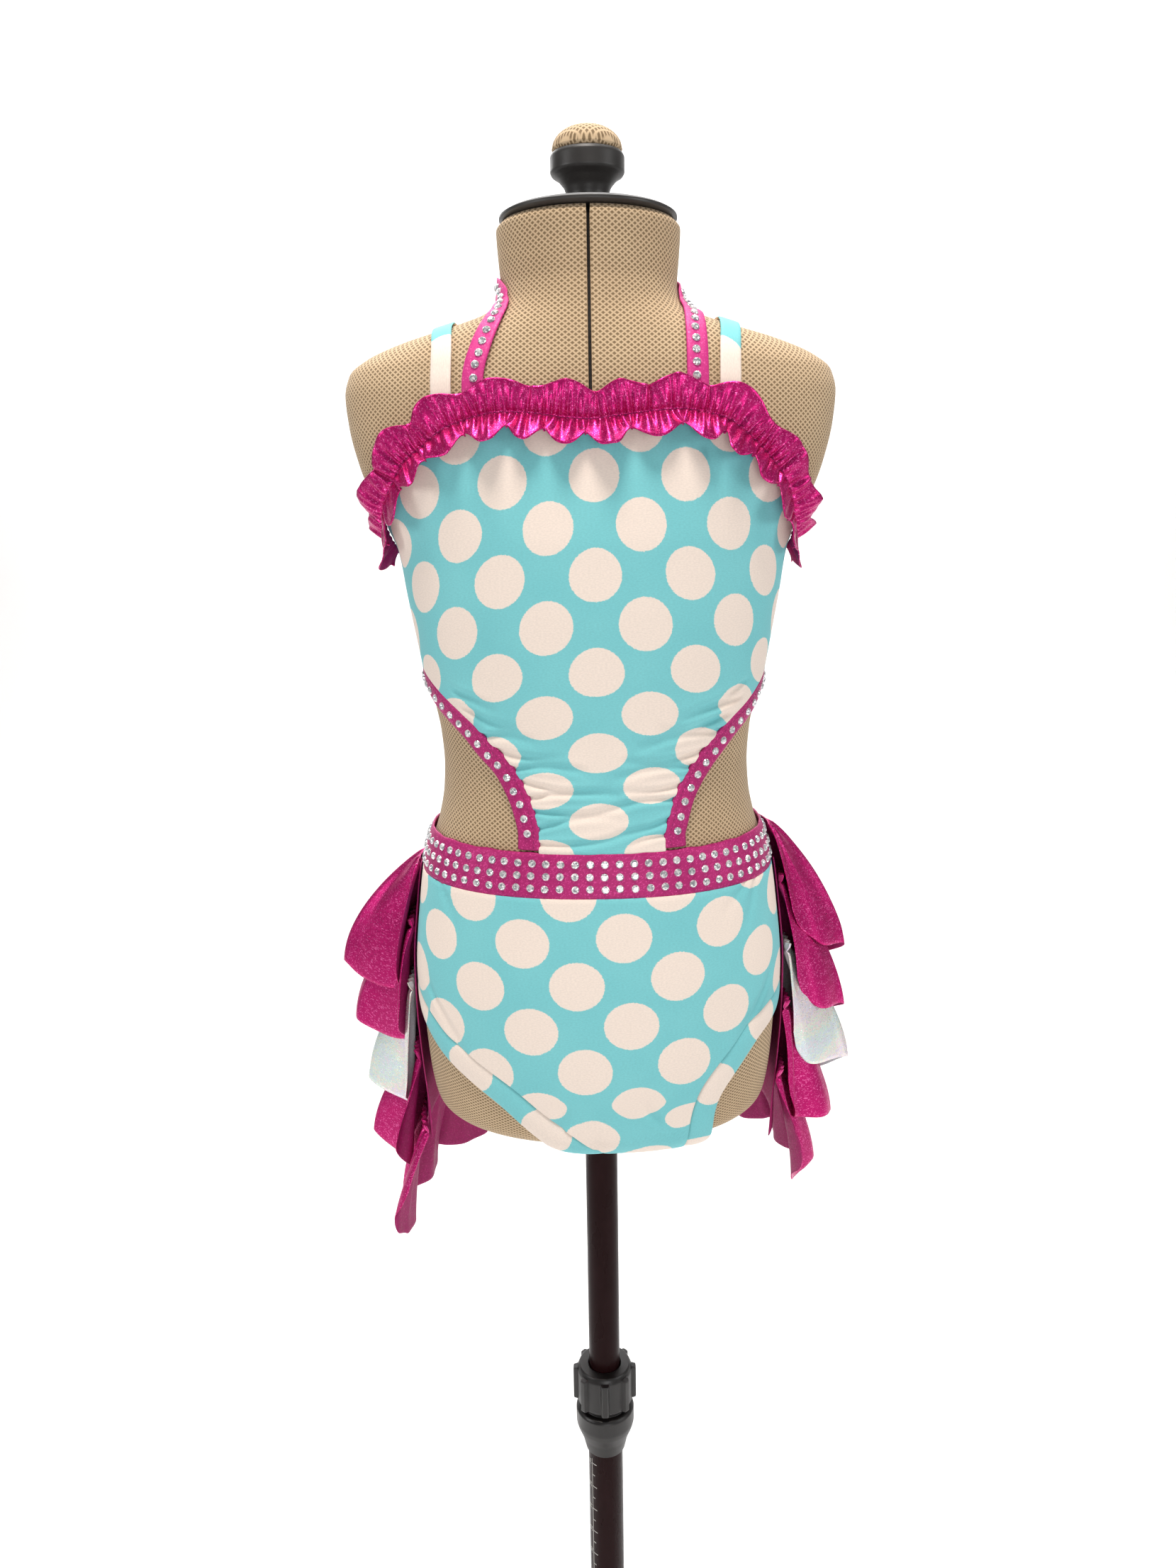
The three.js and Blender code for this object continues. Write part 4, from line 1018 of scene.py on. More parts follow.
def make_neck():
    for name, profile, radius, sides, node in (
        ("neck_cap_cover", CAP_PROFILE, 1.0, 120, "neck_cap"),
        ("neck_knob_turned", KNOB_PROFILE, 1.4, 96, "neck_knob"),
    ):
        part = lathe(rounded(profile, radius), sides)
        piece(name, [part], CHARCOAL, "form", [node])
    part = lathe(smooth_profile(PAD_PROFILE, 2), 96)
    part["maps"] = {"weave": part["points"][:, :2] * PAD_STRETCH}
    piece("knob_pad_cover", [part], FORM_MESH, "form", ["knob_pad"])


# Stand

LOWER_TUBE = ((11.5, 22), (12.5, 22), (12.5, 440), (11.5, 440), (11.5, 22))
UPPER_TUBE = ((9.6, 250), (11, 250), (11, 719.7), (9.6, 719.7), (9.6, 250))
COLLAR = (
    (12.8, 386), (14.2, 386), (16.5, 396), (20, 405), (21, 409), (21, 420), (19.5, 422),
    (16, 422), (16, 446), (12.8, 446), (12.8, 386),
)
NUT = (
    (16.6, 426), (19.0, 426), (19.8, 428), (19.8, 452), (18.6, 455), (17.8, 456), (11.5, 456),
    (11.5, 448), (16.6, 448), (16.6, 426),
)
NUT_LUGS = 8
NUT_LUG_RISE = 2.9
NUT_FACE = 18.4  # radius past which the lugs stand out, between two heights
NUT_LUG_FOOT, NUT_LUG_TOP = 427.5, 453
NUT_LUG_GAIN, NUT_LUG_GAP = 1.6, 0.35
HUB = (
    (0, 16), (26, 16), (30, 20), (30, 62), (20, 78), (12.8, 78), (12.8, 21.7), (0, 21.7),
)
FOOT = ((0, 0), (14, 0), (14, 11), (11, 18), (0, 20))
LEG_STOPS = ((20, 52), (90, 49), (190, 32), (250, 10))
LEG_RADIUS = 9
LEGS = 4


def make_tubes():
    for name, profile, body in (
        ("lower_tube", LOWER_TUBE, "stand"), ("upper_tube", UPPER_TUBE, "column"),
    ):
        part = lathe(rounded(profile, 0.4, 2), 72)
        piece(name + "_drawn", [part], ENAMEL, body, [name], sharp=40)


def make_collar():
    piece(
        "collar_moulding", [lathe(rounded(COLLAR, 1.2), 96)], COLLAR_BLACK, "stand",
        ["collar_body"], sharp=40,
    )
    profile = rounded(NUT, 0.8)
    heights = np.array([p[1] for p in profile[:-1]])
    widths = np.array([p[0] for p in profile[:-1]])
    weight = (widths > NUT_FACE) & (heights > NUT_LUG_FOOT) & (heights < NUT_LUG_TOP)

    def lugs(k, turn):
        wave = np.clip(np.cos(turn * NUT_LUGS) * NUT_LUG_GAIN - NUT_LUG_GAP, 0, 1)
        return weight[k] * NUT_LUG_RISE * wave * wave * (3 - 2 * wave)

    piece(
        "collar_nut_moulding", [lathe(profile, 240, swell=lugs)], COLLAR_BLACK, "nut",
        ["collar_nut"], sharp=40,
    )


def make_base():
    parts = [lathe(rounded(HUB, 2.0), 96)]
    for k in range(LEGS):
        turn = ROUND * (k + 0.5) / LEGS
        x, y = math.cos(turn), math.sin(turn)
        stops = [(r * x, r * y, z) for r, z in LEG_STOPS]
        parts.append(pipe(stops, LEG_RADIUS))
        foot = lathe(rounded(FOOT, 2.0), 48, stops[-1][:2])
        foot["shade"] = 1
        parts.append(foot)
    piece(
        "base_legs", parts, [ENAMEL, COLLAR_BLACK], "stand", ["base"], sharp=40
    )


# Hem-marking ruler printed on the lower tube, to the left of its front

RULER_TURN = -0.92  # radians from the front
RULER_TOP = 380
RULER_FOOT = 60
RULER_STEP = 10
RULER_START = 38  # cm at the highest number
RULER_TICKS = (4.2, 2.6)  # long and short
TICK_HEIGHT = 0.6
TUBE_FACE = 12.5
PRINT_THICKNESS = 0.12
PRINT_LIFT = 0.14
NUMBER_SIZE = 4.6
NUMBER_GAP = 1.2


def on_tube(turn, z, lift):
    reach = TUBE_FACE + lift
    return np.stack([reach * np.sin(turn), -reach * np.cos(turn), z + 0 * turn], axis=-1)


def printed_bar(width, height, turn, z, columns=6):
    turns = turn + np.linspace(-0.5, 0.5, columns + 1) * width / TUBE_FACE
    levels = np.array([z + height / 2, z - height / 2])
    turns, levels = np.broadcast_arrays(turns[None], levels[:, None])
    return shell(on_tube(turns, levels, PRINT_LIFT), PRINT_THICKNESS)


def make_ruler():
    middle = (RULER_TOP + RULER_FOOT) / 2
    parts = [printed_bar(0.5, RULER_TOP - RULER_FOOT, RULER_TURN, middle, 2)]
    for k, z in enumerate(range(RULER_TOP - 4, RULER_FOOT, -RULER_STEP)):
        width = RULER_TICKS[k % 2]
        parts.append(printed_bar(width, TICK_HEIGHT, RULER_TURN + width / 2 / TUBE_FACE, z, 4))
    for k, z in enumerate(range(RULER_TOP - 4, RULER_FOOT + 20, -2 * RULER_STEP)):
        parts.append(printed_number(str(RULER_START - 2 * k), z))
    piece("ruler_print", parts, RULER_WHITE, "stand")


def printed_number(text, z):
    """Flat figures bent round the tube, reading up it"""
    curve = bpy.data.curves.new("figures", "FONT")
    curve.body = text
    curve.size = NUMBER_SIZE
    curve.extrude = PRINT_THICKNESS / 2
    curve.resolution_u = 2
    curve.align_x = "CENTER"
    holder = bpy.data.objects.new("figures", curve)
    mesh = bpy.data.meshes.new_from_object(holder)
    places = np.empty(len(mesh.vertices) * 3)
    mesh.vertices.foreach_get("co", places)
    places = places.reshape(-1, 3)
    mesh.calc_loop_triangles()
    tris = np.empty(len(mesh.loop_triangles) * 3, int)
    mesh.loop_triangles.foreach_get("vertices", tris)
    bpy.data.objects.remove(holder)
    bpy.data.meshes.remove(mesh)
    turn = RULER_TURN - (places[:, 1] + NUMBER_GAP) / TUBE_FACE
    points = on_tube(turn, z + places[:, 0], PRINT_LIFT + places[:, 2])
    return {"points": points, "tris": tris.reshape(-1, 3)}


# Cloth pieces

CELL_WIDTH = table(
    "v width", (860, 62), (901, 61), (944, 58.7), (965, 56.3), (993, 54), (1019, 52.2),
    (1047, 49.5), (1073, 49), (1115, 49),
)
PRINT_ROWS = table(
    "v row", (840, 5.1), (883, 4), (922.6, 3), (968.4, 2), (1021.6, 1), (1073.1, 0), (1124, -1),
)
PRINT_MIDDLE = 1.2
BRIEF_PRINT = np.array(((58.97, 3.99), (3.96, -54.14)))
BRIEF_PRINT_START = (18.7, 759.8)

# Main creases of the bodice: both ends as distance from the centre front and height
BODICE_CREASES = table(
    "s0 z0 s1 z1 depth width",
    (-82, 955, -55, 943, 1.0, 3.0), (-73, 945, -41, 935, 1.2, 2.6),
    (-64, 931, -33, 929, 1.3, 2.4), (-56, 923, -18, 920, 1.4, 2.4),
    (-46, 913, -3, 911, 1.5, 2.2), (-41, 905, 9, 901, 1.2, 2.2),
    (-37, 896, 17, 897, 1.5, 2.0), (-34, 888, 22, 893, 1.3, 2.0),
    (-33, 878, 13, 885, 1.2, 2.0), (-32, 869, 28, 879, 1.3, 2.0),
    (90, 957, 59, 945, 1.1, 2.8), (84, 948, 45, 938, 1.5, 2.6),
    (75, 940, 34, 934, 1.4, 2.4), (69, 931, 22, 924, 1.4, 2.4),
    (63, 921, 13, 917, 1.5, 2.2), (58, 912, 9, 907, 1.5, 2.2),
    (54, 903, 13, 900, 1.3, 2.0), (50, 893, 3, 889, 1.5, 2.0),
    (46, 884, 9, 875, 1.3, 2.0), (43, 873, 17, 868, 1.1, 1.8),
    (-9, 1098, -3, 1076, 0.9, 2.6), (2, 1098, 1, 1074, 1.0, 2.2),
    (13, 1098, 9, 1078, 0.9, 2.2), (26, 1098, 34, 1076, 0.8, 2.6),
    (-34, 1098, -40, 1080, 0.7, 2.8), (62, 1086, 70, 1066, 0.7, 2.8),
)
# Main creases of the brief, alike on its front and its back
BRIEF_CREASES = table(
    "s0 z0 s1 z1 depth width",
    (101, 834, 88, 806, 0.9, 3.0), (92, 836, 74, 818, 0.7, 3.0), (-100, 834, -86, 808, 0.8, 3.0),
    (112, 770, 78, 716, 0.8, 3.4), (-112, 768, -74, 712, 0.8, 3.4),
    (-30, 676, -14, 700, 0.9, 2.6), (34, 682, 26, 706, 0.8, 2.6), (-4, 660, -1, 684, 0.7, 2.4),
)
CREASE_DEPTH = 2.1
CREASE_LIMIT = 1.6  # the cloth stays clear of the form where troughs cross
CREASE_BOW = 0.06  # of its length, to one side and then the other
CREASE_LEAD = -0.25  # a crease starts a little before its first end
CREASE_SPREAD = 0.8
CREASE_RIDGE = 1.2


def creased(s, z, creases):
    """Lift of the cloth at each place: troughs along lines, with a low ridge on both sides"""
    lift = np.zeros_like(s)
    for k in range(len(creases["s0"])):
        row = {key: values[k] for key, values in creases.items()}
        run = np.array((row["s1"] - row["s0"], row["z1"] - row["z0"]))
        length = math.hypot(*run)
        run /= length
        ahead = (s - row["s0"]) * run[0] + (z - row["z0"]) * run[1]
        aside = (z - row["z0"]) * run[0] - (s - row["s0"]) * run[1]
        bow = CREASE_BOW * length * np.sin(np.pi * np.clip(ahead / length, 0, 1))
        aside = aside - bow * (-1) ** k
        part = np.clip(ahead / length, CREASE_LEAD, 1)
        fade = np.where(part < 0, np.clip(1 - part / CREASE_LEAD, 0, 1), (1 - part) ** 0.7)
        spread = row["width"] * (1 + CREASE_SPREAD * np.clip(part, 0, 1))
        near = (aside / spread) ** 2
        lift -= CREASE_DEPTH * row["depth"] * fade * (1 - CREASE_RIDGE * near) * np.exp(-near)
    return np.where(lift < 0, CREASE_LIMIT * np.tanh(lift / CREASE_LIMIT), lift)


def maps_of(s, v, cells):
    """Both texture places of a cloth: in mm for the knit, and in cells for the print"""
    s, v = np.broadcast_arrays(s, v)
    weave = np.stack([s, v], axis=-1)
    if cells is None:
        return {"weave": weave}
    return {"weave": weave, "print": np.stack(cells, axis=-1)}


PRINT_TILT = 0.065  # the print sinks a little towards the left side


def bodice_cells(s, v):
    width = along(CELL_WIDTH, "v", "width", v)
    level = v - PRINT_TILT * np.minimum(s, 0)
    return (s - PRINT_MIDDLE) / width, along(PRINT_ROWS, "v", "row", level)


def brief_cells(s, v):
    back = np.linalg.inv(BRIEF_PRINT)
    ds, dv = s - BRIEF_PRINT_START[0], v - BRIEF_PRINT_START[1]
    return back[0, 0] * ds + back[0, 1] * dv, back[1, 0] * ds + back[1, 1] * dv


def cloth(name, grid, thickness, finish, node, maps=None, closed=False,
          period=0):
    """Sheet of cloth that stands for one node of the frame"""
    part = shell(grid, thickness, closed, maps, period)
    made = piece(name, [part], finish, "form", [node])
    return made


BODICE_COLUMNS, CHEST_ROWS, WAIST_ROWS = 130, 69, 120
WAIST_EASE = 1.15  # rows lie closer where the waist starts


def bodice_front():
    across = np.linspace(0, 1, BODICE_COLUMNS + 1)[None]
    upper = np.linspace(0, 1, CHEST_ROWS + 1)[:, None]
    t_upper = mix_turn(-SIDE_SEAM, SIDE_SEAM, across) + 0 * upper
    v_upper = mix(along(NECKLINE, "t", "v", t_upper), CHEST_LINE, upper)
    lower = np.linspace(0, 1, WAIST_ROWS + 1)[1:, None] ** WAIST_EASE
    v_lower = mix(CHEST_LINE, WAIST_TOP + SEAM, lower)
    left = np.maximum(along(CUT_LEFT, "v", "t", v_lower), -SIDE_SEAM)
    right = np.minimum(along(CUT_RIGHT, "v", "t", v_lower), SIDE_SEAM)
    t = np.vstack([t_upper, mix_turn(left, right, across)])
    v = np.vstack([v_upper, v_lower + 0 * across])
    s = ring_arc(t, v, 0)
    grid = on_body(t, v, BODICE_LIFT + creased(s, v, BODICE_CREASES))
    cloth(
        "bodice_front_panel", grid, KNIT, DOTTED, "bodice_front",
        maps_of(s, v, bodice_cells(s, v)),
    )


BACK_SHIFT = 20  # mm that the print is moved round on the back panel
BACK_PULL = 0.35  # depth of its shallow pulls


def bodice_back():
    t = mix_turn(180 - SIDE_SEAM, 180 + SIDE_SEAM, np.linspace(0, 1, 121)[None])
    v = mix(BACK_TOP, BACK_EDGE, np.linspace(0, 1, 40)[:, None])
    t, v = np.broadcast_arrays(t, v)
    s = ring_arc(t, v, 180)
    pull = BACK_PULL * np.sin(s * 0.21 + 0.02 * v) * np.sin(v * 0.11) ** 2
    cloth(
        "bodice_back_panel", on_body(t, v, BODICE_LIFT + pull), KNIT, DOTTED,
        "bodice_back", maps_of(s, v, bodice_cells(s + BACK_SHIFT, v)),
    )


def even_places(t, v, count):
    """Evenly spaced places along a dense line of places"""
    points = body_point(t, v)
    length = np.append(0, np.cumsum(np.linalg.norm(np.diff(points, axis=0), axis=1)))
    even = np.linspace(0, length[-1], count + 1)
    return np.interp(even, length, t), np.interp(even, length, v), even


BINDING_SIDE = 966.6  # height at which a binding leaves the cut-out for the back
BINDING_STONES, BINDING_STITCHES = 0.56, 0.25  # places across its width
BINDING_STONE_PITCH = 8.6
BINDING_STITCH, FRILL_STITCH = 2.9, 3.1  # from one stitch to the next
BINDING_BEND = 3  # it reaches the back panel's edge in a third of its way round


def binding_line(cut, side, count=260):
    v = np.linspace(WAIST_TOP + SEAM + 2, BINDING_SIDE, 140)
    t = along(cut, "v", "t", v)
    part = np.linspace(0, 1, 120)[1:]
    back_t = mix_turn(t[-1], side * (180 - SEAM / 2), part)
    back_v = mix(v[-1], BACK_EDGE, np.minimum(1, part * BINDING_BEND))
    return even_places(np.append(t, back_t), np.append(v, back_v), count)


def strip_grid(t, v, start, end, lift, rows, dome=0.0, closed=False):
    """Rows of points along a line of places, between two sideways distances"""
    lines = []
    for part in np.linspace(0, 1, rows):
        side_t, side_v = beside(t, v, mix(start, end, part), closed)
        rise = lift + dome * (1 - (2 * part - 1) ** 4)
        lines.append(on_body(side_t, side_v, rise))
    return np.array(lines)


def strip_maps(even, width, rows, cells=False, start=(0.3, 0.2)):
    s = even[None] + np.zeros((rows, 1))
    v = np.linspace(0, width, rows)[:, None] + 0 * even[None]
    made = None
    if cells:
        made = (v / PRINT_CELL + start[0], s / PRINT_CELL + start[1])
    return maps_of(s, v, made)


rng = np.random.default_rng(7)
stone_spots = []
stitch_spots = []


def line_spots(points, normals, pitch, loose=0.0):
    """Evenly spaced spots on a line: where, which way is out, and which way the line runs"""
    length = np.append(0, np.cumsum(np.linalg.norm(np.diff(points, axis=0), axis=1)))
    count = max(2, round(length[-1] / pitch))
    at = (np.arange(count) + 0.5) * length[-1] / count + rng.uniform(-loose, loose, count)
    run = unit(np.gradient(points, axis=0))

    def at_spots(values):
        return np.stack([np.interp(at, length, values[:, k]) for k in range(3)], axis=1)

    return at_spots(points), unit(at_spots(normals)), unit(at_spots(run))


STONE_LOOSE = 0.25  # mm that a glued stone strays from its line


def lay_stones(points, normals, pitch):
    where, out, run = line_spots(points, normals, pitch, STONE_LOOSE)
    aside = rng.uniform(-STONE_LOOSE, STONE_LOOSE, (len(where), 1))
    where = where + np.cross(out, run) * aside
    stone_spots.append((where, out, run))


def make_bindings():
    rows = 9
    for side, cut, sign in (("left", CUT_LEFT, -1), ("right", CUT_RIGHT, 1)):
        t, v, even = binding_line(cut, sign)
        near, far = -sign * SEAM, -sign * (SEAM + BINDING_WIDTH)
        grid = strip_grid(t, v, near, far, BAND_LIFT - 0.1, rows, BAND_DOME)
        cloth(
            f"binding_{side}_strip", grid, FOLDED, BAND_FOIL, f"binding_{side}",
            strip_maps(even, BINDING_WIDTH, rows),
        )
        line_t, line_v = beside(t, v, mix(near, far, BINDING_STONES))
        points = on_body(line_t, line_v, BAND_LIFT + FOLDED / 2 + 0.1)
        lay_stones(points[4:], body_normal(line_t, line_v)[4:], BINDING_STONE_PITCH)
        line_t, line_v = beside(t, v, mix(near, far, BINDING_STITCHES))
        points = on_body(line_t, line_v, BAND_LIFT + FOLDED / 2 + 0.05)
        out = body_normal(line_t, line_v)
        stitch_spots.append(line_spots(points, out, BINDING_STITCH))


WAIST_STONE_ROWS = (5.7, 12.9, 20.2)
WAIST_STONES = 72  # columns
WAIST_COLUMNS = 420
WAIST_RIPPLES = ((0.25, 23, 0), (0.2, 41, 1))  # depth, waves round and start of each ripple
WAIST_ROUND = 620


def make_waistband():
    t = turn_at(np.arange(WAIST_COLUMNS) * 360 / WAIST_COLUMNS + 180)[None]
    down = np.linspace(0, 1, 13)[:, None]
    wavy = sum(rise * np.sin(np.radians(t) * waves + at) for rise, waves, at in WAIST_RIPPLES)
    v = mix(WAIST_TOP, WAIST_BOTTOM, down) + wavy * (1 - 2 * down) * 0.8
    t = t + 0 * down
    lift = BAND_LIFT + BAND_DOME * (1 - (2 * down - 1) ** 4) + 0 * t
    s = ring_arc(t, v, 180)
    cloth(
        "waistband_strip", on_body(t, v, lift), FOLDED, BAND_FOIL, "waistband",
        maps_of(s, v, None), closed=True,
        period=WAIST_ROUND,
    )
    turns = np.linspace(180, 540, 721)
    for drop in WAIST_STONE_ROWS:
        level = np.full_like(turns, WAIST_TOP - drop)
        rise = BAND_LIFT + FOLDED / 2 + 0.2
        points = on_body(turns, level, rise)
        round_waist = np.linalg.norm(np.diff(points, axis=0), axis=1).sum()
        lay_stones(points, body_normal(turns, level), round_waist / WAIST_STONES)


LEG_STEPS = 72


def leg_loop(side):
    front_t, front_v = route(LEG_FRONT[side], LEG_STEPS)
    back_t, back_v = route(LEG_BACK[side], LEG_STEPS)
    t = np.concatenate([front_t[:-1], back_t[:-1]])
    return t, np.concatenate([front_v[:-1], back_v[:-1]])


LEG_SIGN = {"left": 1, "right": -1}
leg_loops = {side: leg_loop(side) for side in ("left", "right")}
leg_seams = {
    side: beside(*leg_loops[side], LEG_SIGN[side] * (LEG_BAND_WIDTH + LEG_SEAM), closed=True)
    for side in ("left", "right")
}
BRIEF_UPPER = 24  # rows above the leg openings
CROTCH_HALF_GAP = 0.2
UNDER_TOP, UNDER_BLEND = 710, 30  # where the cloth turns under the form


def under_height(points):
    """Height along the profile for places under the form, measured front to back"""
    low = BODY["v"] <= 700
    depth = np.abs(points[..., 1])
    front = np.interp(depth, BODY["front"][low], BODY["v"][low])
    back = np.interp(depth, BODY["back"][low], BODY["v"][low])
    return np.where(points[..., 1] < 0, front, back) + np.minimum(depth - BODY["front"][0], 0)


def flat_places(t, v, centre):
    """Distance from the centre line and height on the flat cloth, also under the form"""
    points = body_point(t, v)
    under = np.clip((UNDER_TOP - v) / UNDER_BLEND, 0, 1)
    x = points[..., 0] * (1 if centre == 0 else -1)
    return mix(ring_arc(t, v, centre), x, under), mix(v, under_height(points), under)


def brief_grid(back):
    first_t, last_t = (180 - SIDE_SEAM, 180 + SIDE_SEAM) if back else (-SIDE_SEAM, SIDE_SEAM)

    def leg_rows(side):
        t, v = leg_seams[side]
        rows = np.arange(LEG_STEPS + 1)
        rows = (len(t) - rows) % len(t) if back else rows
        t, v = t[rows], v[rows]
        if back and side == "left":
            t = np.where(t < 0, t + 360, t)
        return t, v

    start_t, start_v = leg_rows("right" if back else "left")
    end_t, end_v = leg_rows("left" if back else "right")
    across = np.linspace(0, 1, 101)[None]
    down = np.linspace(0, 1, BRIEF_UPPER + 1)[:-1, None]
    upper_t = mix_turn(first_t, last_t, across) + 0 * down
    upper_v = mix(WAIST_BOTTOM - SEAM, mix(start_v[0], end_v[0], across), down)
    lower_t = np.clip(mix_turn(start_t[:, None], end_t[:, None], across), first_t, last_t)
    lower_v = mix(start_v[:, None], end_v[:, None], across)
    shift = np.array((0, CROTCH_HALF_GAP if back else -CROTCH_HALF_GAP, 0))
    lower_t[-1], lower_v[-1] = settle(
        body_point(lower_t[-1], lower_v[-1]) + shift, lower_t[-1], lower_v[-1]
    )
    return np.vstack([upper_t, lower_t]), np.vstack([upper_v, lower_v])


def make_brief():
    for name, back in (("front", False), ("back", True)):
        t, v = brief_grid(back)
        s, w = flat_places(t, v, 180 if back else 0)
        lift = BRIEF_LIFT + creased(s, w, BRIEF_CREASES)
        cloth(
            f"brief_{name}_panel", on_body(t, v, lift), KNIT, DOTTED,
            f"brief_{name}", maps_of(s, w, brief_cells(s, w)),
        )


LEG_BAND_DOTS = 9  # round a leg
LEG_BAND_START = {"left": 0.5, "right": 0.88}  # where its dots start, in steps of a dot
LEG_BAND_LIFT = 1.75
LEG_BAND_DOME, LEG_BAND_ROUND = 1.2, 0.6


def make_leg_bands():
    rows = 11
    for side, start in LEG_BAND_START.items():
        t, v = leg_loops[side]
        t = np.where(t > 181, t - 360, t) if side == "left" else t
        lines_t, lines_v, rises = [], [], []
        for part in np.linspace(0, 1, rows):
            side_t, side_v = beside(t, v, LEG_SIGN[side] * LEG_BAND_WIDTH * part, closed=True)
            lines_t.append(side_t)
            lines_v.append(side_v)
            rise = LEG_BAND_LIFT + LEG_BAND_DOME * math.sin(math.pi * part) ** LEG_BAND_ROUND
            rises.append(np.full_like(side_t, rise))
        grid = on_body(np.array(lines_t), np.array(lines_v), np.array(rises))
        middle = grid[rows // 2]
        steps = np.linalg.norm(np.roll(middle, -1, axis=0) - middle, axis=1)
        along_band = np.concatenate([[0], np.cumsum(steps)[:-1]]) / steps.sum()
        across = (np.linspace(-0.5, 0.5, rows) * LEG_BAND_WIDTH)[:, None] + 0 * along_band[None]
        turns = LEG_BAND_DOTS * along_band[None] + start + 0 * across
        cloth(
            f"leg_band_{side}_strip", grid, KNIT * 1.3, DOTTED, f"leg_band_{side}",
            maps_of(turns * PRINT_CELL, across, (turns, across / PRINT_CELL)), closed=True,
            period=LEG_BAND_DOTS * PRINT_CELL,
        )


STRAP_CUT, HALTER_CUT = 205, 310  # lengths
STRAP_CLOTH = 1.1
STRAP_ROWS = 7
STRAP_PRINT_START = {"left": (0.42, 1.03), "right": (0.3, 0.15)}
HALTER_STONE_OFFSET = 0.6
HALTER_STONE_PITCH = 7.4


def strap_grid(stops, steps):
    t, v = route(stops, steps)
    half = STRAP_WIDTH / 2
    return t, v, strip_grid(t, v, -half, half, STRAP_LIFT, STRAP_ROWS, STRAP_DOME)


def make_straps():
    for side, start in STRAP_PRINT_START.items():
        t, v, grid = strap_grid(SHOULDER_ROUTE[side], 120)
        even = np.linspace(0, STRAP_CUT, len(t))
        cloth(
            f"shoulder_strap_{side}_strip", grid, STRAP_CLOTH, DOTTED,
            f"shoulder_strap_{side}",
            strip_maps(even, STRAP_WIDTH, STRAP_ROWS, True, start),
        )
    t, v, grid = strap_grid(HALTER_ROUTE, 180)
    even = np.linspace(0, HALTER_CUT, len(t))
    cloth(
        "halter_strap_strip", grid, STRAP_CLOTH, HALTER_KNIT, "halter_strap",
        strip_maps(even, STRAP_WIDTH, STRAP_ROWS),
    )
    line_t, line_v = beside(t, v, -HALTER_STONE_OFFSET)
    out = body_normal(line_t, line_v)
    lay_stones(on_body(line_t, line_v, STRAP_LIFT + 0.75), out, HALTER_STONE_PITCH)


# Neckline frill: two wings, above and below its stitching. Scallop is how far a wing's edge
# draws in between two folds, lean how far its folds fall sideways
FRILL_WINGS = {
    "up": {"waves": 12, "depth": 5, "scallop": 0.4, "start": 1.3, "lean": 1.4},
    "down": {"waves": 16, "depth": 8.5, "scallop": 0.8, "start": 4.0, "lean": 3.4},
}
FRILL_STEPS = 900
FRILL_ROWS = 13  # each side of the gathering line
FRILL_WIDTH = 16
FRILL_REACH = 0.99  # share of the neckline's turn that it covers
FRILL_LIFT = 4.5
FRILL_GROOVE, GROOVE_WIDTH = 0.9, 0.09  # dip along the stitching
FRILL_OPEN = 3.2  # how far a wing's edge stands off in a trough
FRILL_DRIFT = 0.010  # share of the frill by which its folds stray from even steps
FRILL_UNEVEN = 0.2
FRILL_SMALL = 2.0  # small waves that lie across the folds
FRILL_SWAY = 1.1
FRILL_PUCKERS, PUCKER_DEPTH, PUCKER_REACH = 78, 1.1, 0.65
FRILL_CUT = 540


def make_frill():
    stops = {"t": NECKLINE["t"] * FRILL_REACH, "v": NECKLINE["v"]}
    t, v = route(stops, FRILL_STEPS)
    share = np.linspace(0, 1, FRILL_STEPS + 1)
    uneven_share = share + 0.004 * np.sin(share * 57)
    pucker = np.sin(2 * np.pi * FRILL_PUCKERS * uneven_share)
    lines = []
    for out in np.linspace(1, -1, 2 * FRILL_ROWS + 1):
        wing = FRILL_WINGS["up" if out >= 0 else "down"]
        far = abs(out)
        drift = FRILL_DRIFT * np.sin(share * 19 + wing["start"])
        phase = 2 * np.pi * wing["waves"] * (share + drift * np.sin(np.pi * share))
        uneven = 1 - FRILL_UNEVEN * (1 - np.sin(phase * 0.37 + 1))
        wave = 0.5 - 0.5 * np.cos(phase)
        rise = (FRILL_OPEN + wing["depth"] * uneven * wave) / FRILL_WIDTH
        width = FRILL_WIDTH * (1 + wing["scallop"] * (wave * uneven - 0.5))
        width = width * np.sqrt(1 - np.clip(rise * 0.9, 0, 0.9) ** 2)
        side_t, side_v = beside(t, v, out * width)
        lift = FRILL_LIFT - FRILL_GROOVE * math.exp(-((far / GROOVE_WIDTH) ** 2))
        lift = lift + FRILL_OPEN * math.sin(far * math.pi / 2)
        lift = lift + far * wing["depth"] * uneven * wave
        small = np.sin(phase * 2.4 + 1.7 * np.sin(share * 31))
        lift = lift + FRILL_SMALL * far * (1.3 - far) * small
        reach = math.exp(-((far / PUCKER_REACH) ** 2)) * min(1, far * 9 + 0.25)
        lift = lift + PUCKER_DEPTH * pucker * reach
        points = on_body(side_t, side_v, lift)
        run = unit(np.gradient(body_point(side_t, side_v), axis=0))
        sway = -FRILL_SWAY * far * np.sin(phase * 2) - wing["lean"] * far**2 * np.sin(phase)
        lines.append(points + run * sway[:, None])
    grid = np.array(lines)
    s = np.linspace(0, FRILL_CUT, FRILL_STEPS + 1)[None] + np.zeros((len(lines), 1))
    w = np.linspace(0, 2 * FRILL_WIDTH, len(lines))[:, None] + 0 * s
    cloth(
        "neckline_frill", grid, 0.7, [MAGENTA_FOIL, REVERSE_KNIT],
        "neckline_ruffle", maps_of(s, w, None),
    )
    middle = grid[FRILL_ROWS]
    out = body_normal(t, v)
    stitch_spots.append(line_spots(middle + out * 0.45, out, FRILL_STITCH))


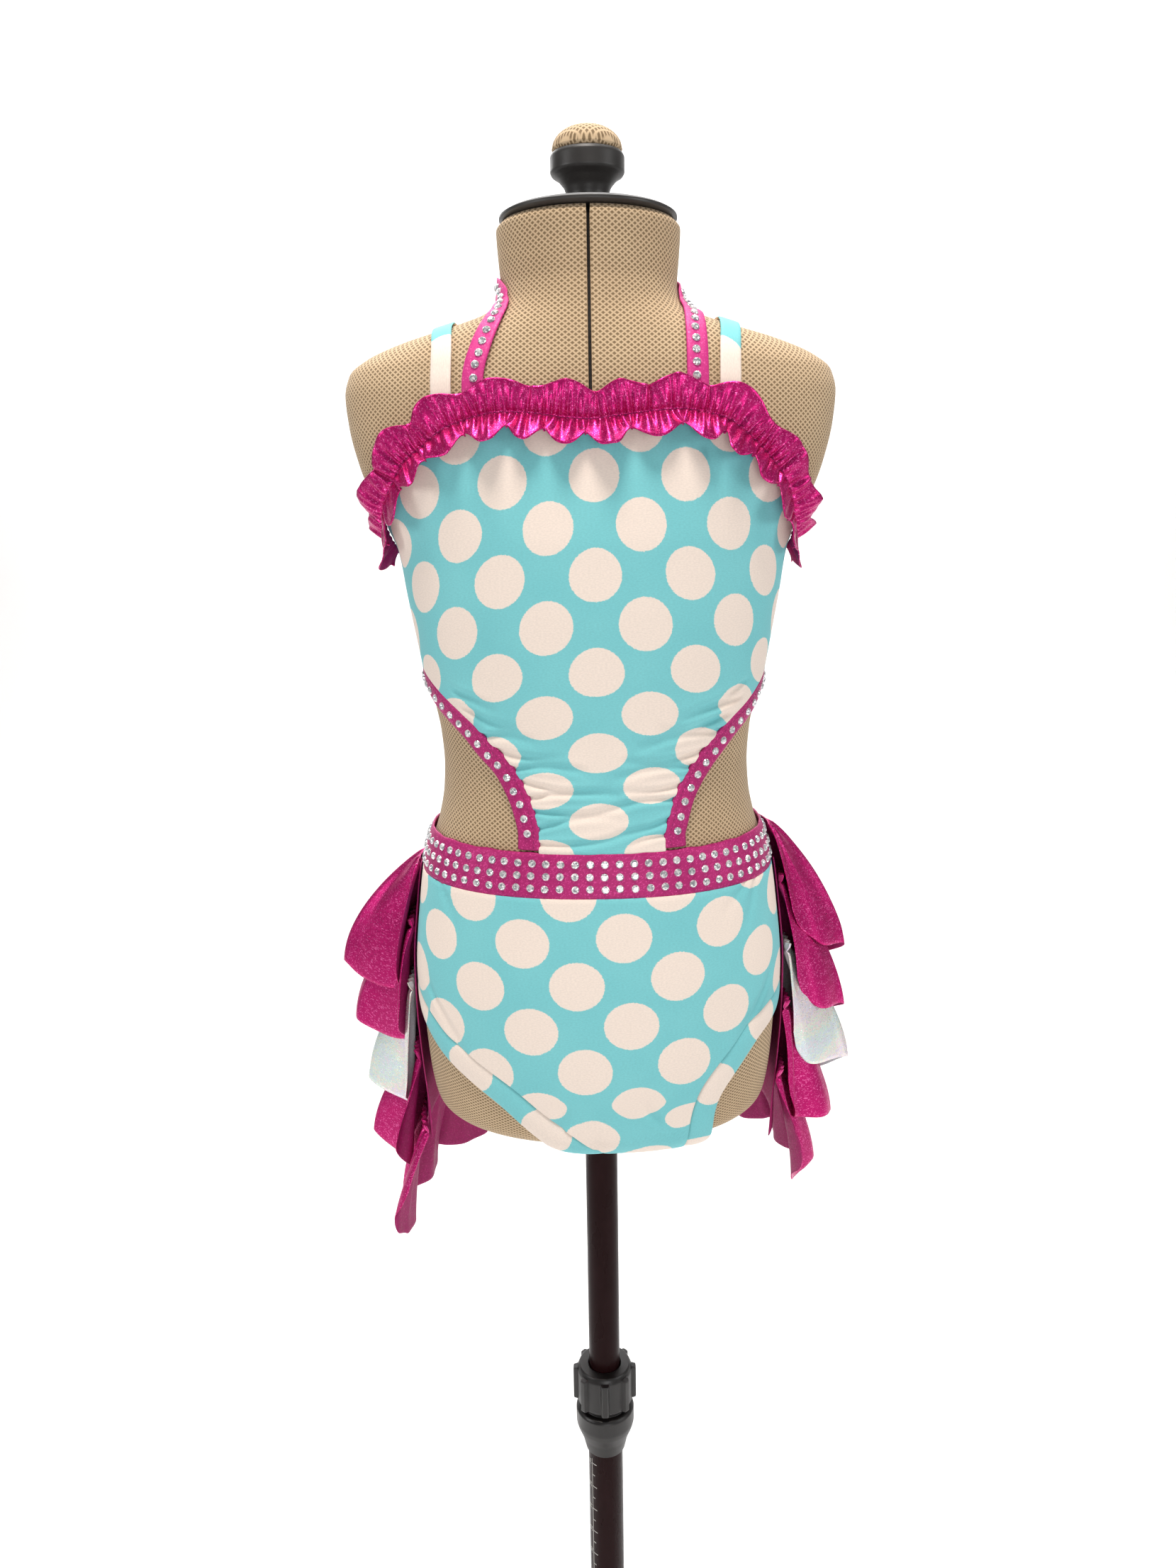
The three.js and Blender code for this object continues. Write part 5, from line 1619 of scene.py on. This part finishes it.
# Bustle

def hang_point(t, z, lift):
    points = on_body(t, np.maximum(z, LOWEST_HOLD), lift)
    points[..., 2] = z
    return points


def make_bustle_base():
    down = np.linspace(0, 1, 60)[:, None]
    z = mix(WAIST_BOTTOM - SEAM, BUSTLE_HEM, down)
    start = mix(BASE_START_TOP, BASE_START_HEM, down**2)
    t = mix_turn(start, 360 - start, np.linspace(0, 1, 121)[None])
    z = z + 0 * t
    s = ring_arc(t, np.maximum(z, LOWEST_HOLD), 180)
    grid = hang_point(t, z, BASE_LIFT + 0 * t)
    cloth(
        "bustle_base_panel", grid, KNIT, [REVERSE_KNIT, REVERSE_KNIT],
        "bustle_base", maps_of(s, z, None),
    )


TIER_COLUMNS = 420
TIER_ROWS = 38
TIER_PUCKERS = 62
PUCKER_FALL = 17  # mm that the gathers run down
HEADER_ROWS = 4
HEADER_LEAN = 0.35
TIER_STRETCH = (0, 0.12, 0.14, 0.04, 0.08)  # the bias of a tier's cloth drops at the right hip
STRETCH_SPAN = 0.12
TIER_HEM_WAVE = 0.012
TIER_SHORTER = (0.03, 0.03, 0.03, 0.03, 0.1)  # share of its length that each lacks behind
# Slow drift of the folds: share of a turn, waves, start, and change from tier to tier
TIER_DRIFTS = ((0.35, 17, 2, 0), (0.12, 29, 0, 1.7))
# Creases over the folds: depth, creases to a fold, change from tier to tier, twist down a tier
TIER_CREASES = ((1, 2.6, 0.5, 0.8), (0.7, 4.3, 1.9, 1))
TIER_CREASE = 2.6
TIER_RISE = 0.3  # how much a leaning fold lifts its hem
TIER_END = 26  # mm from a free end where the cloth is creased more
TIER_TURN_IN = (0.45, 0.5, 0.55, 0.7, 1.0)  # share of its lean that each keeps at a free end
TIER_WEAVE = 3.2  # mm of flat cloth to a degree of share
TIER_CUTS = ((106, 600), (101, 600), (98, 600), (95, 580), (86, 560))


def corner_cut(distance):
    left = np.clip(1 - distance / TIER_CORNER, 0, 1)
    return TIER_CORNER_RISE * (1 - np.sqrt(1 - left * left))


def make_tiers():
    base_share = share_at(TIERS["start"][0])
    for k in range(len(TIER_CUTS)):
        tier = {key: values[k] for key, values in TIERS.items()}
        first = share_at(tier["start"])
        share = mix(first, 360 - first, np.linspace(0, 1, TIER_COLUMNS + 1))[None]
        rows = np.linspace(0, 1, TIER_ROWS + 1)[:, None]
        across = (share - base_share) / (360 - 2 * base_share)
        drift = sum(
            part * np.sin(across * waves + start + change * k)
            for part, waves, start, change in TIER_DRIFTS
        )
        inner = np.sqrt(np.clip(np.sin(np.pi * across), 0, 1))
        phase = 2 * np.pi * TIER_FOLDS * across + TIER_PHASE + drift * inner
        fold = 0.5 - 0.5 * np.cos(phase)
        full = mix(TIER_MIDDLE, 1, np.abs(np.cos(np.pi * across)))
        flare = mix(tier["right_flare"], tier["left_flare"], across)
        edge = np.minimum(share - first, 360 - first - share) * TIER_PITCH
        turn_in = mix(TIER_TURN_IN[k], 1, np.sin(np.clip(edge / TIER_CORNER, 0, 1) * np.pi / 2))
        lean = np.sin(np.radians((TIER_REST_ANGLE + flare * full * fold) * turn_in))
        length = mix(tier["right_length"], tier["left_length"], across)
        length = length * (1 + TIER_STRETCH[k] * np.exp(-((across / STRETCH_SPAN) ** 2)))
        uneven_hem = TIER_HEM_WAVE * np.sin(across * 41 + 2.1 * k) - TIER_SHORTER[k] * inner
        down = rows * (1 + uneven_hem - corner_cut(edge) / length)
        header = np.linspace(-TIER_HEADER if k else 0, 0, HEADER_ROWS + 1)[:-1, None] / length
        down = np.concatenate([header, down])
        t = turn_at(share) + 0 * down
        above = np.clip(-down, 0, 1)
        down = np.clip(down, 0, 1)
        bulge = 1 - (1 - down) ** TIER_BULGE
        fall = down - TIER_RISE * (TIER_BULGE * lean) ** 2 * (1 - (1 - down) ** 2)
        z = mix(tier["right_z"], tier["left_z"], across) - length * (fall - above)
        hold = hang_point(t, z, TIER_LIFT + 0 * t)
        out = unit(hold * (1, 1, 0))
        sideways = np.stack([-out[..., 1], out[..., 0], 0 * out[..., 0]], axis=-1)
        drop = length * down
        pucker = np.sin(2 * np.pi * TIER_PUCKERS * across + 3 * np.sin(across * 23 + k))
        near_end = np.exp(-((edge / TIER_END) ** 2))
        away = drop + length * above
        gathers = (1 + 0.7 * near_end) * pucker * np.exp(-((away / PUCKER_FALL) ** 2))
        gathers = gathers * np.minimum(1, away / 1.8) + HEADER_LEAN * length * above
        soft = np.sqrt(down) * (1.25 - down)
        creases = sum(
            part * TIER_CREASE * np.sin(phase * waves + change * k + twist * down) * soft
            for part, waves, change, twist in TIER_CREASES
        )
        creases = creases + TIER_CREASE * near_end * np.sin(edge * 0.34) * np.sqrt(down)
        reach = length * lean * bulge + gathers + creases
        sway = TIER_SWAY * down * np.sin(phase) + 1.5 * down * np.sin(phase * 0.5 + k)
        sway = sway + TIER_CREASE * near_end * np.sin(edge * 0.45 + 0.6 * k) * np.sqrt(down)
        grid = hold + out * reach[..., None] + sideways * sway[..., None]
        silver = k + 1 == SILVER_TIER
        finish = [SILVER_FOIL, REVERSE_WHITE] if silver else [MAGENTA_FOIL, REVERSE_KNIT]
        cloth(
            f"bustle_tier_{k + 1}_frill", grid, 0.7, finish,
            f"bustle_tier_{k + 1}",
            maps_of(share * TIER_WEAVE + 0 * down, drop, None),
        )


# Stones and stitches: one small shape copied to every spot

def copies_tree():
    """Geometry Nodes: a shape on every spot, turned by the spot's own angles, made real"""
    tree = bpy.data.node_groups.new("shape_on_spots", "GeometryNodeTree")
    for name, kind in (
        ("Spots", "NodeSocketGeometry"), ("Shape", "NodeSocketObject"),
        ("Size", "NodeSocketFloat"), ("Finish", "NodeSocketMaterial"),
    ):
        tree.interface.new_socket(name, in_out="INPUT", socket_type=kind)
    tree.interface.new_socket("Geometry", in_out="OUTPUT", socket_type="NodeSocketGeometry")
    given = add(tree, "NodeGroupInput").outputs
    shape = add(tree, "GeometryNodeObjectInfo", {"Object": given["Shape"]})
    turn = add(tree, "GeometryNodeInputNamedAttribute", {"Name": "turn"},
               data_type="FLOAT_VECTOR")
    rotation = add(tree, "FunctionNodeEulerToRotation", {"Euler": turn.outputs["Attribute"]})
    placed = add(
        tree, "GeometryNodeInstanceOnPoints",
        {"Points": given["Spots"], "Instance": shape.outputs["Geometry"],
         "Rotation": rotation.outputs["Rotation"], "Scale": given["Size"]},
    )
    real = add(tree, "GeometryNodeRealizeInstances", {"Geometry": placed.outputs["Instances"]})
    finished = add(
        tree, "GeometryNodeSetMaterial",
        {"Geometry": real.outputs["Geometry"], "Material": given["Finish"]},
    )
    add(tree, "NodeGroupOutput", {"Geometry": finished.outputs["Geometry"]})
    return tree


def copies(name, tree, spots, shape, finish):
    where, out, run = (np.vstack(rows) for rows in zip(*spots))
    run = unit(run - out * dot(run, out)[:, None])
    angles = [
        Matrix((r, np.cross(o, r), o)).transposed().to_euler() for r, o in zip(run, out)
    ]
    places = bpy.data.meshes.new(name + "_spots")
    places.from_pydata((where * MM).tolist(), [], [])
    turn = places.attributes.new("turn", "FLOAT_VECTOR", "POINT")
    turn.data.foreach_set("vector", np.array(angles).ravel())
    holder = new_object(name + "_spots", places)
    maker = holder.modifiers.new("copies", "NODES")
    maker.node_group = tree
    sockets = {
        item.name: item.identifier for item in tree.interface.items_tree if item.in_out == "INPUT"
    }
    maker[sockets["Shape"]] = shape
    maker[sockets["Size"]] = 1.0
    maker[sockets["Finish"]] = finish
    bpy.context.view_layer.update()
    evaluated = holder.evaluated_get(bpy.context.evaluated_depsgraph_get())
    mesh = bpy.data.meshes.new_from_object(evaluated)
    mesh.name = name
    holder.modifiers.clear()
    bpy.data.objects.remove(holder)
    bpy.data.objects.remove(shape)
    made = new_object(name, mesh)
    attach(made, "form")
    return made


STONE_RADIUS = 2.35
STONE_HEIGHT = 1.5
# Share of the radius, height and turn in facets of each ring
STONE_RINGS = ((1, 0.0, 0), (1, 0.35, 0), (0.8, 1.05, 0.5), (0.52, STONE_HEIGHT, 0))


def stone_shape():
    """Flat-backed round stone: girdle, crown facets and a flat table"""
    sides = 12
    points, faces = [(0, 0, 0), (0, 0, STONE_HEIGHT)], []
    for part, z, shift in STONE_RINGS:
        for k in range(sides):
            turn, radius = ROUND * (k + shift) / sides, STONE_RADIUS * part
            points.append((radius * math.cos(turn), radius * math.sin(turn), z))

    def ring(row, k):
        return 2 + row * sides + k % sides

    for k in range(sides):
        faces.append((0, ring(0, k + 1), ring(0, k)))
        faces.append((ring(0, k), ring(0, k + 1), ring(1, k + 1), ring(1, k)))
        faces.append((ring(1, k), ring(1, k + 1), ring(2, k)))
        faces.append((ring(1, k + 1), ring(2, k + 1), ring(2, k)))
        faces.append((ring(2, k), ring(3, k + 1), ring(3, k)))
        faces.append((ring(2, k), ring(2, k + 1), ring(3, k + 1)))
        faces.append((ring(3, k), ring(3, k + 1), 1))
    return small_shape("stone", points, faces)


THREAD_RADIUS = 0.24
STITCH_HALF = 1.1


def stitch_shape():
    """One stitch: a short round thread, its ends dipping into the cloth"""
    sides, rows = 6, 5
    points, faces = [], []
    for row in range(rows):
        part = 2 * row / (rows - 1) - 1
        radius = THREAD_RADIUS * math.sqrt(max(0.12, 1 - part * part))
        for k in range(sides):
            turn = ROUND * k / sides
            z = radius * math.sin(turn) + 0.1 - 0.2 * part * part
            points.append((STITCH_HALF * part, radius * math.cos(turn), z))
    for row in range(rows - 1):
        for k in range(sides):
            after = (k + 1) % sides
            a, b = row * sides + k, row * sides + after
            faces.append((a, b, b + sides, a + sides))
    faces.append(tuple(range(sides))[::-1])
    faces.append(tuple(range((rows - 1) * sides, rows * sides)))
    return small_shape("stitch", points, faces)


def small_shape(name, points, faces):
    mesh = bpy.data.meshes.new(name)
    mesh.from_pydata([tuple(c * MM for c in point) for point in points], [], faces)
    mesh.update()
    return new_object(name, mesh)


# Studio

# In metres, as the lights are
PAPER_FRONT, PAPER_BACK, PAPER_TOP, PAPER_HALF = -3.0, 1.6, 4.5, 4.0
PAPER_BEND, BEND_STEPS = 0.9, 12


def make_studio():
    wall, _, _ = start_finish("studio_paper", {"Base Color": srgb("#F4F4F4"), "Roughness": 0.9})
    profile = [(PAPER_FRONT, 0.0), (PAPER_BACK, 0.0)]
    for k in range(1, BEND_STEPS + 1):
        turn = math.radians(90 * k / BEND_STEPS)
        y, z = PAPER_BEND * math.sin(turn), PAPER_BEND * math.cos(turn)
        profile.append((PAPER_BACK + y, PAPER_BEND - z))
    profile.append((PAPER_BACK + PAPER_BEND, PAPER_TOP))
    points = [(x, y, z) for y, z in profile for x in (-PAPER_HALF, PAPER_HALF)]
    faces = [(2 * k, 2 * k + 1, 2 * k + 3, 2 * k + 2) for k in range(len(profile) - 1)]
    mesh = bpy.data.meshes.new("studio_sweep")
    mesh.from_pydata(points, [], faces)
    mesh.polygons.foreach_set("use_smooth", [True] * len(faces))
    mesh.materials.append(wall)
    sweep = new_object("studio_sweep", mesh)


# Name, place, aim, width, power in watts and colour
LIGHTS = (
    ("key", (-0.1, -0.7, 3.1), (0, 0, 0.95), 0.7, 43, "#FFF7EF"),
    ("fill", (0.3, -2.2, 0.8), (0, 0, 0.85), 1.0, 11, "#FFFFFF"),
    ("left", (-1.5, -0.7, 1.3), (0, 0, 0.9), 0.7, 7, "#FFFFFF"),
    ("right", (1.5, -0.7, 1.3), (0, 0, 0.9), 0.7, 7, "#FFFFFF"),
    ("back", (-0.8, 1.4, 2.0), (0, 0, 0.9), 1.0, 7, "#FFFFFF"),
    ("paper", (0, 0.9, 3.2), (0, 2.2, 1.0), 2.0, 90, "#FFFFFF"),
)


def make_light(name, place, aim, size, power, tint):
    light = bpy.data.lights.new(name, "AREA")
    light.shape = "DISK"
    light.size = size
    light.energy = power
    light.color = srgb(tint)[:3]
    lamp = new_object(name, light)
    lamp.location = place
    lamp.rotation_mode = "QUATERNION"
    lamp.rotation_quaternion = (Vector(aim) - Vector(place)).to_track_quat("-Z", "Y")


def make_lights():
    world = bpy.data.worlds.new("studio_air")
    bpy.context.scene.world = world
    world.use_nodes = True
    air = world.node_tree.nodes["Background"]
    air.inputs["Color"].default_value = srgb("#FFFFFF")
    air.inputs["Strength"].default_value = 0.2
    for lamp in LIGHTS:
        make_light(*lamp)
    bpy.context.scene.view_settings.view_transform = "Standard"


for make in (
    make_form, make_neck, make_tubes, make_collar, make_base, make_ruler,
    bodice_front, bodice_back, make_bindings, make_waistband, make_brief, make_leg_bands,
    make_straps, make_frill, make_bustle_base, make_tiers,
):
    make()
stones_tree = copies_tree()
copies("rhinestones", stones_tree, stone_spots, stone_shape(), GLASS)
copies("topstitching", stones_tree, stitch_spots, stitch_shape(), MAGENTA_THREAD)
make_studio()
make_lights()
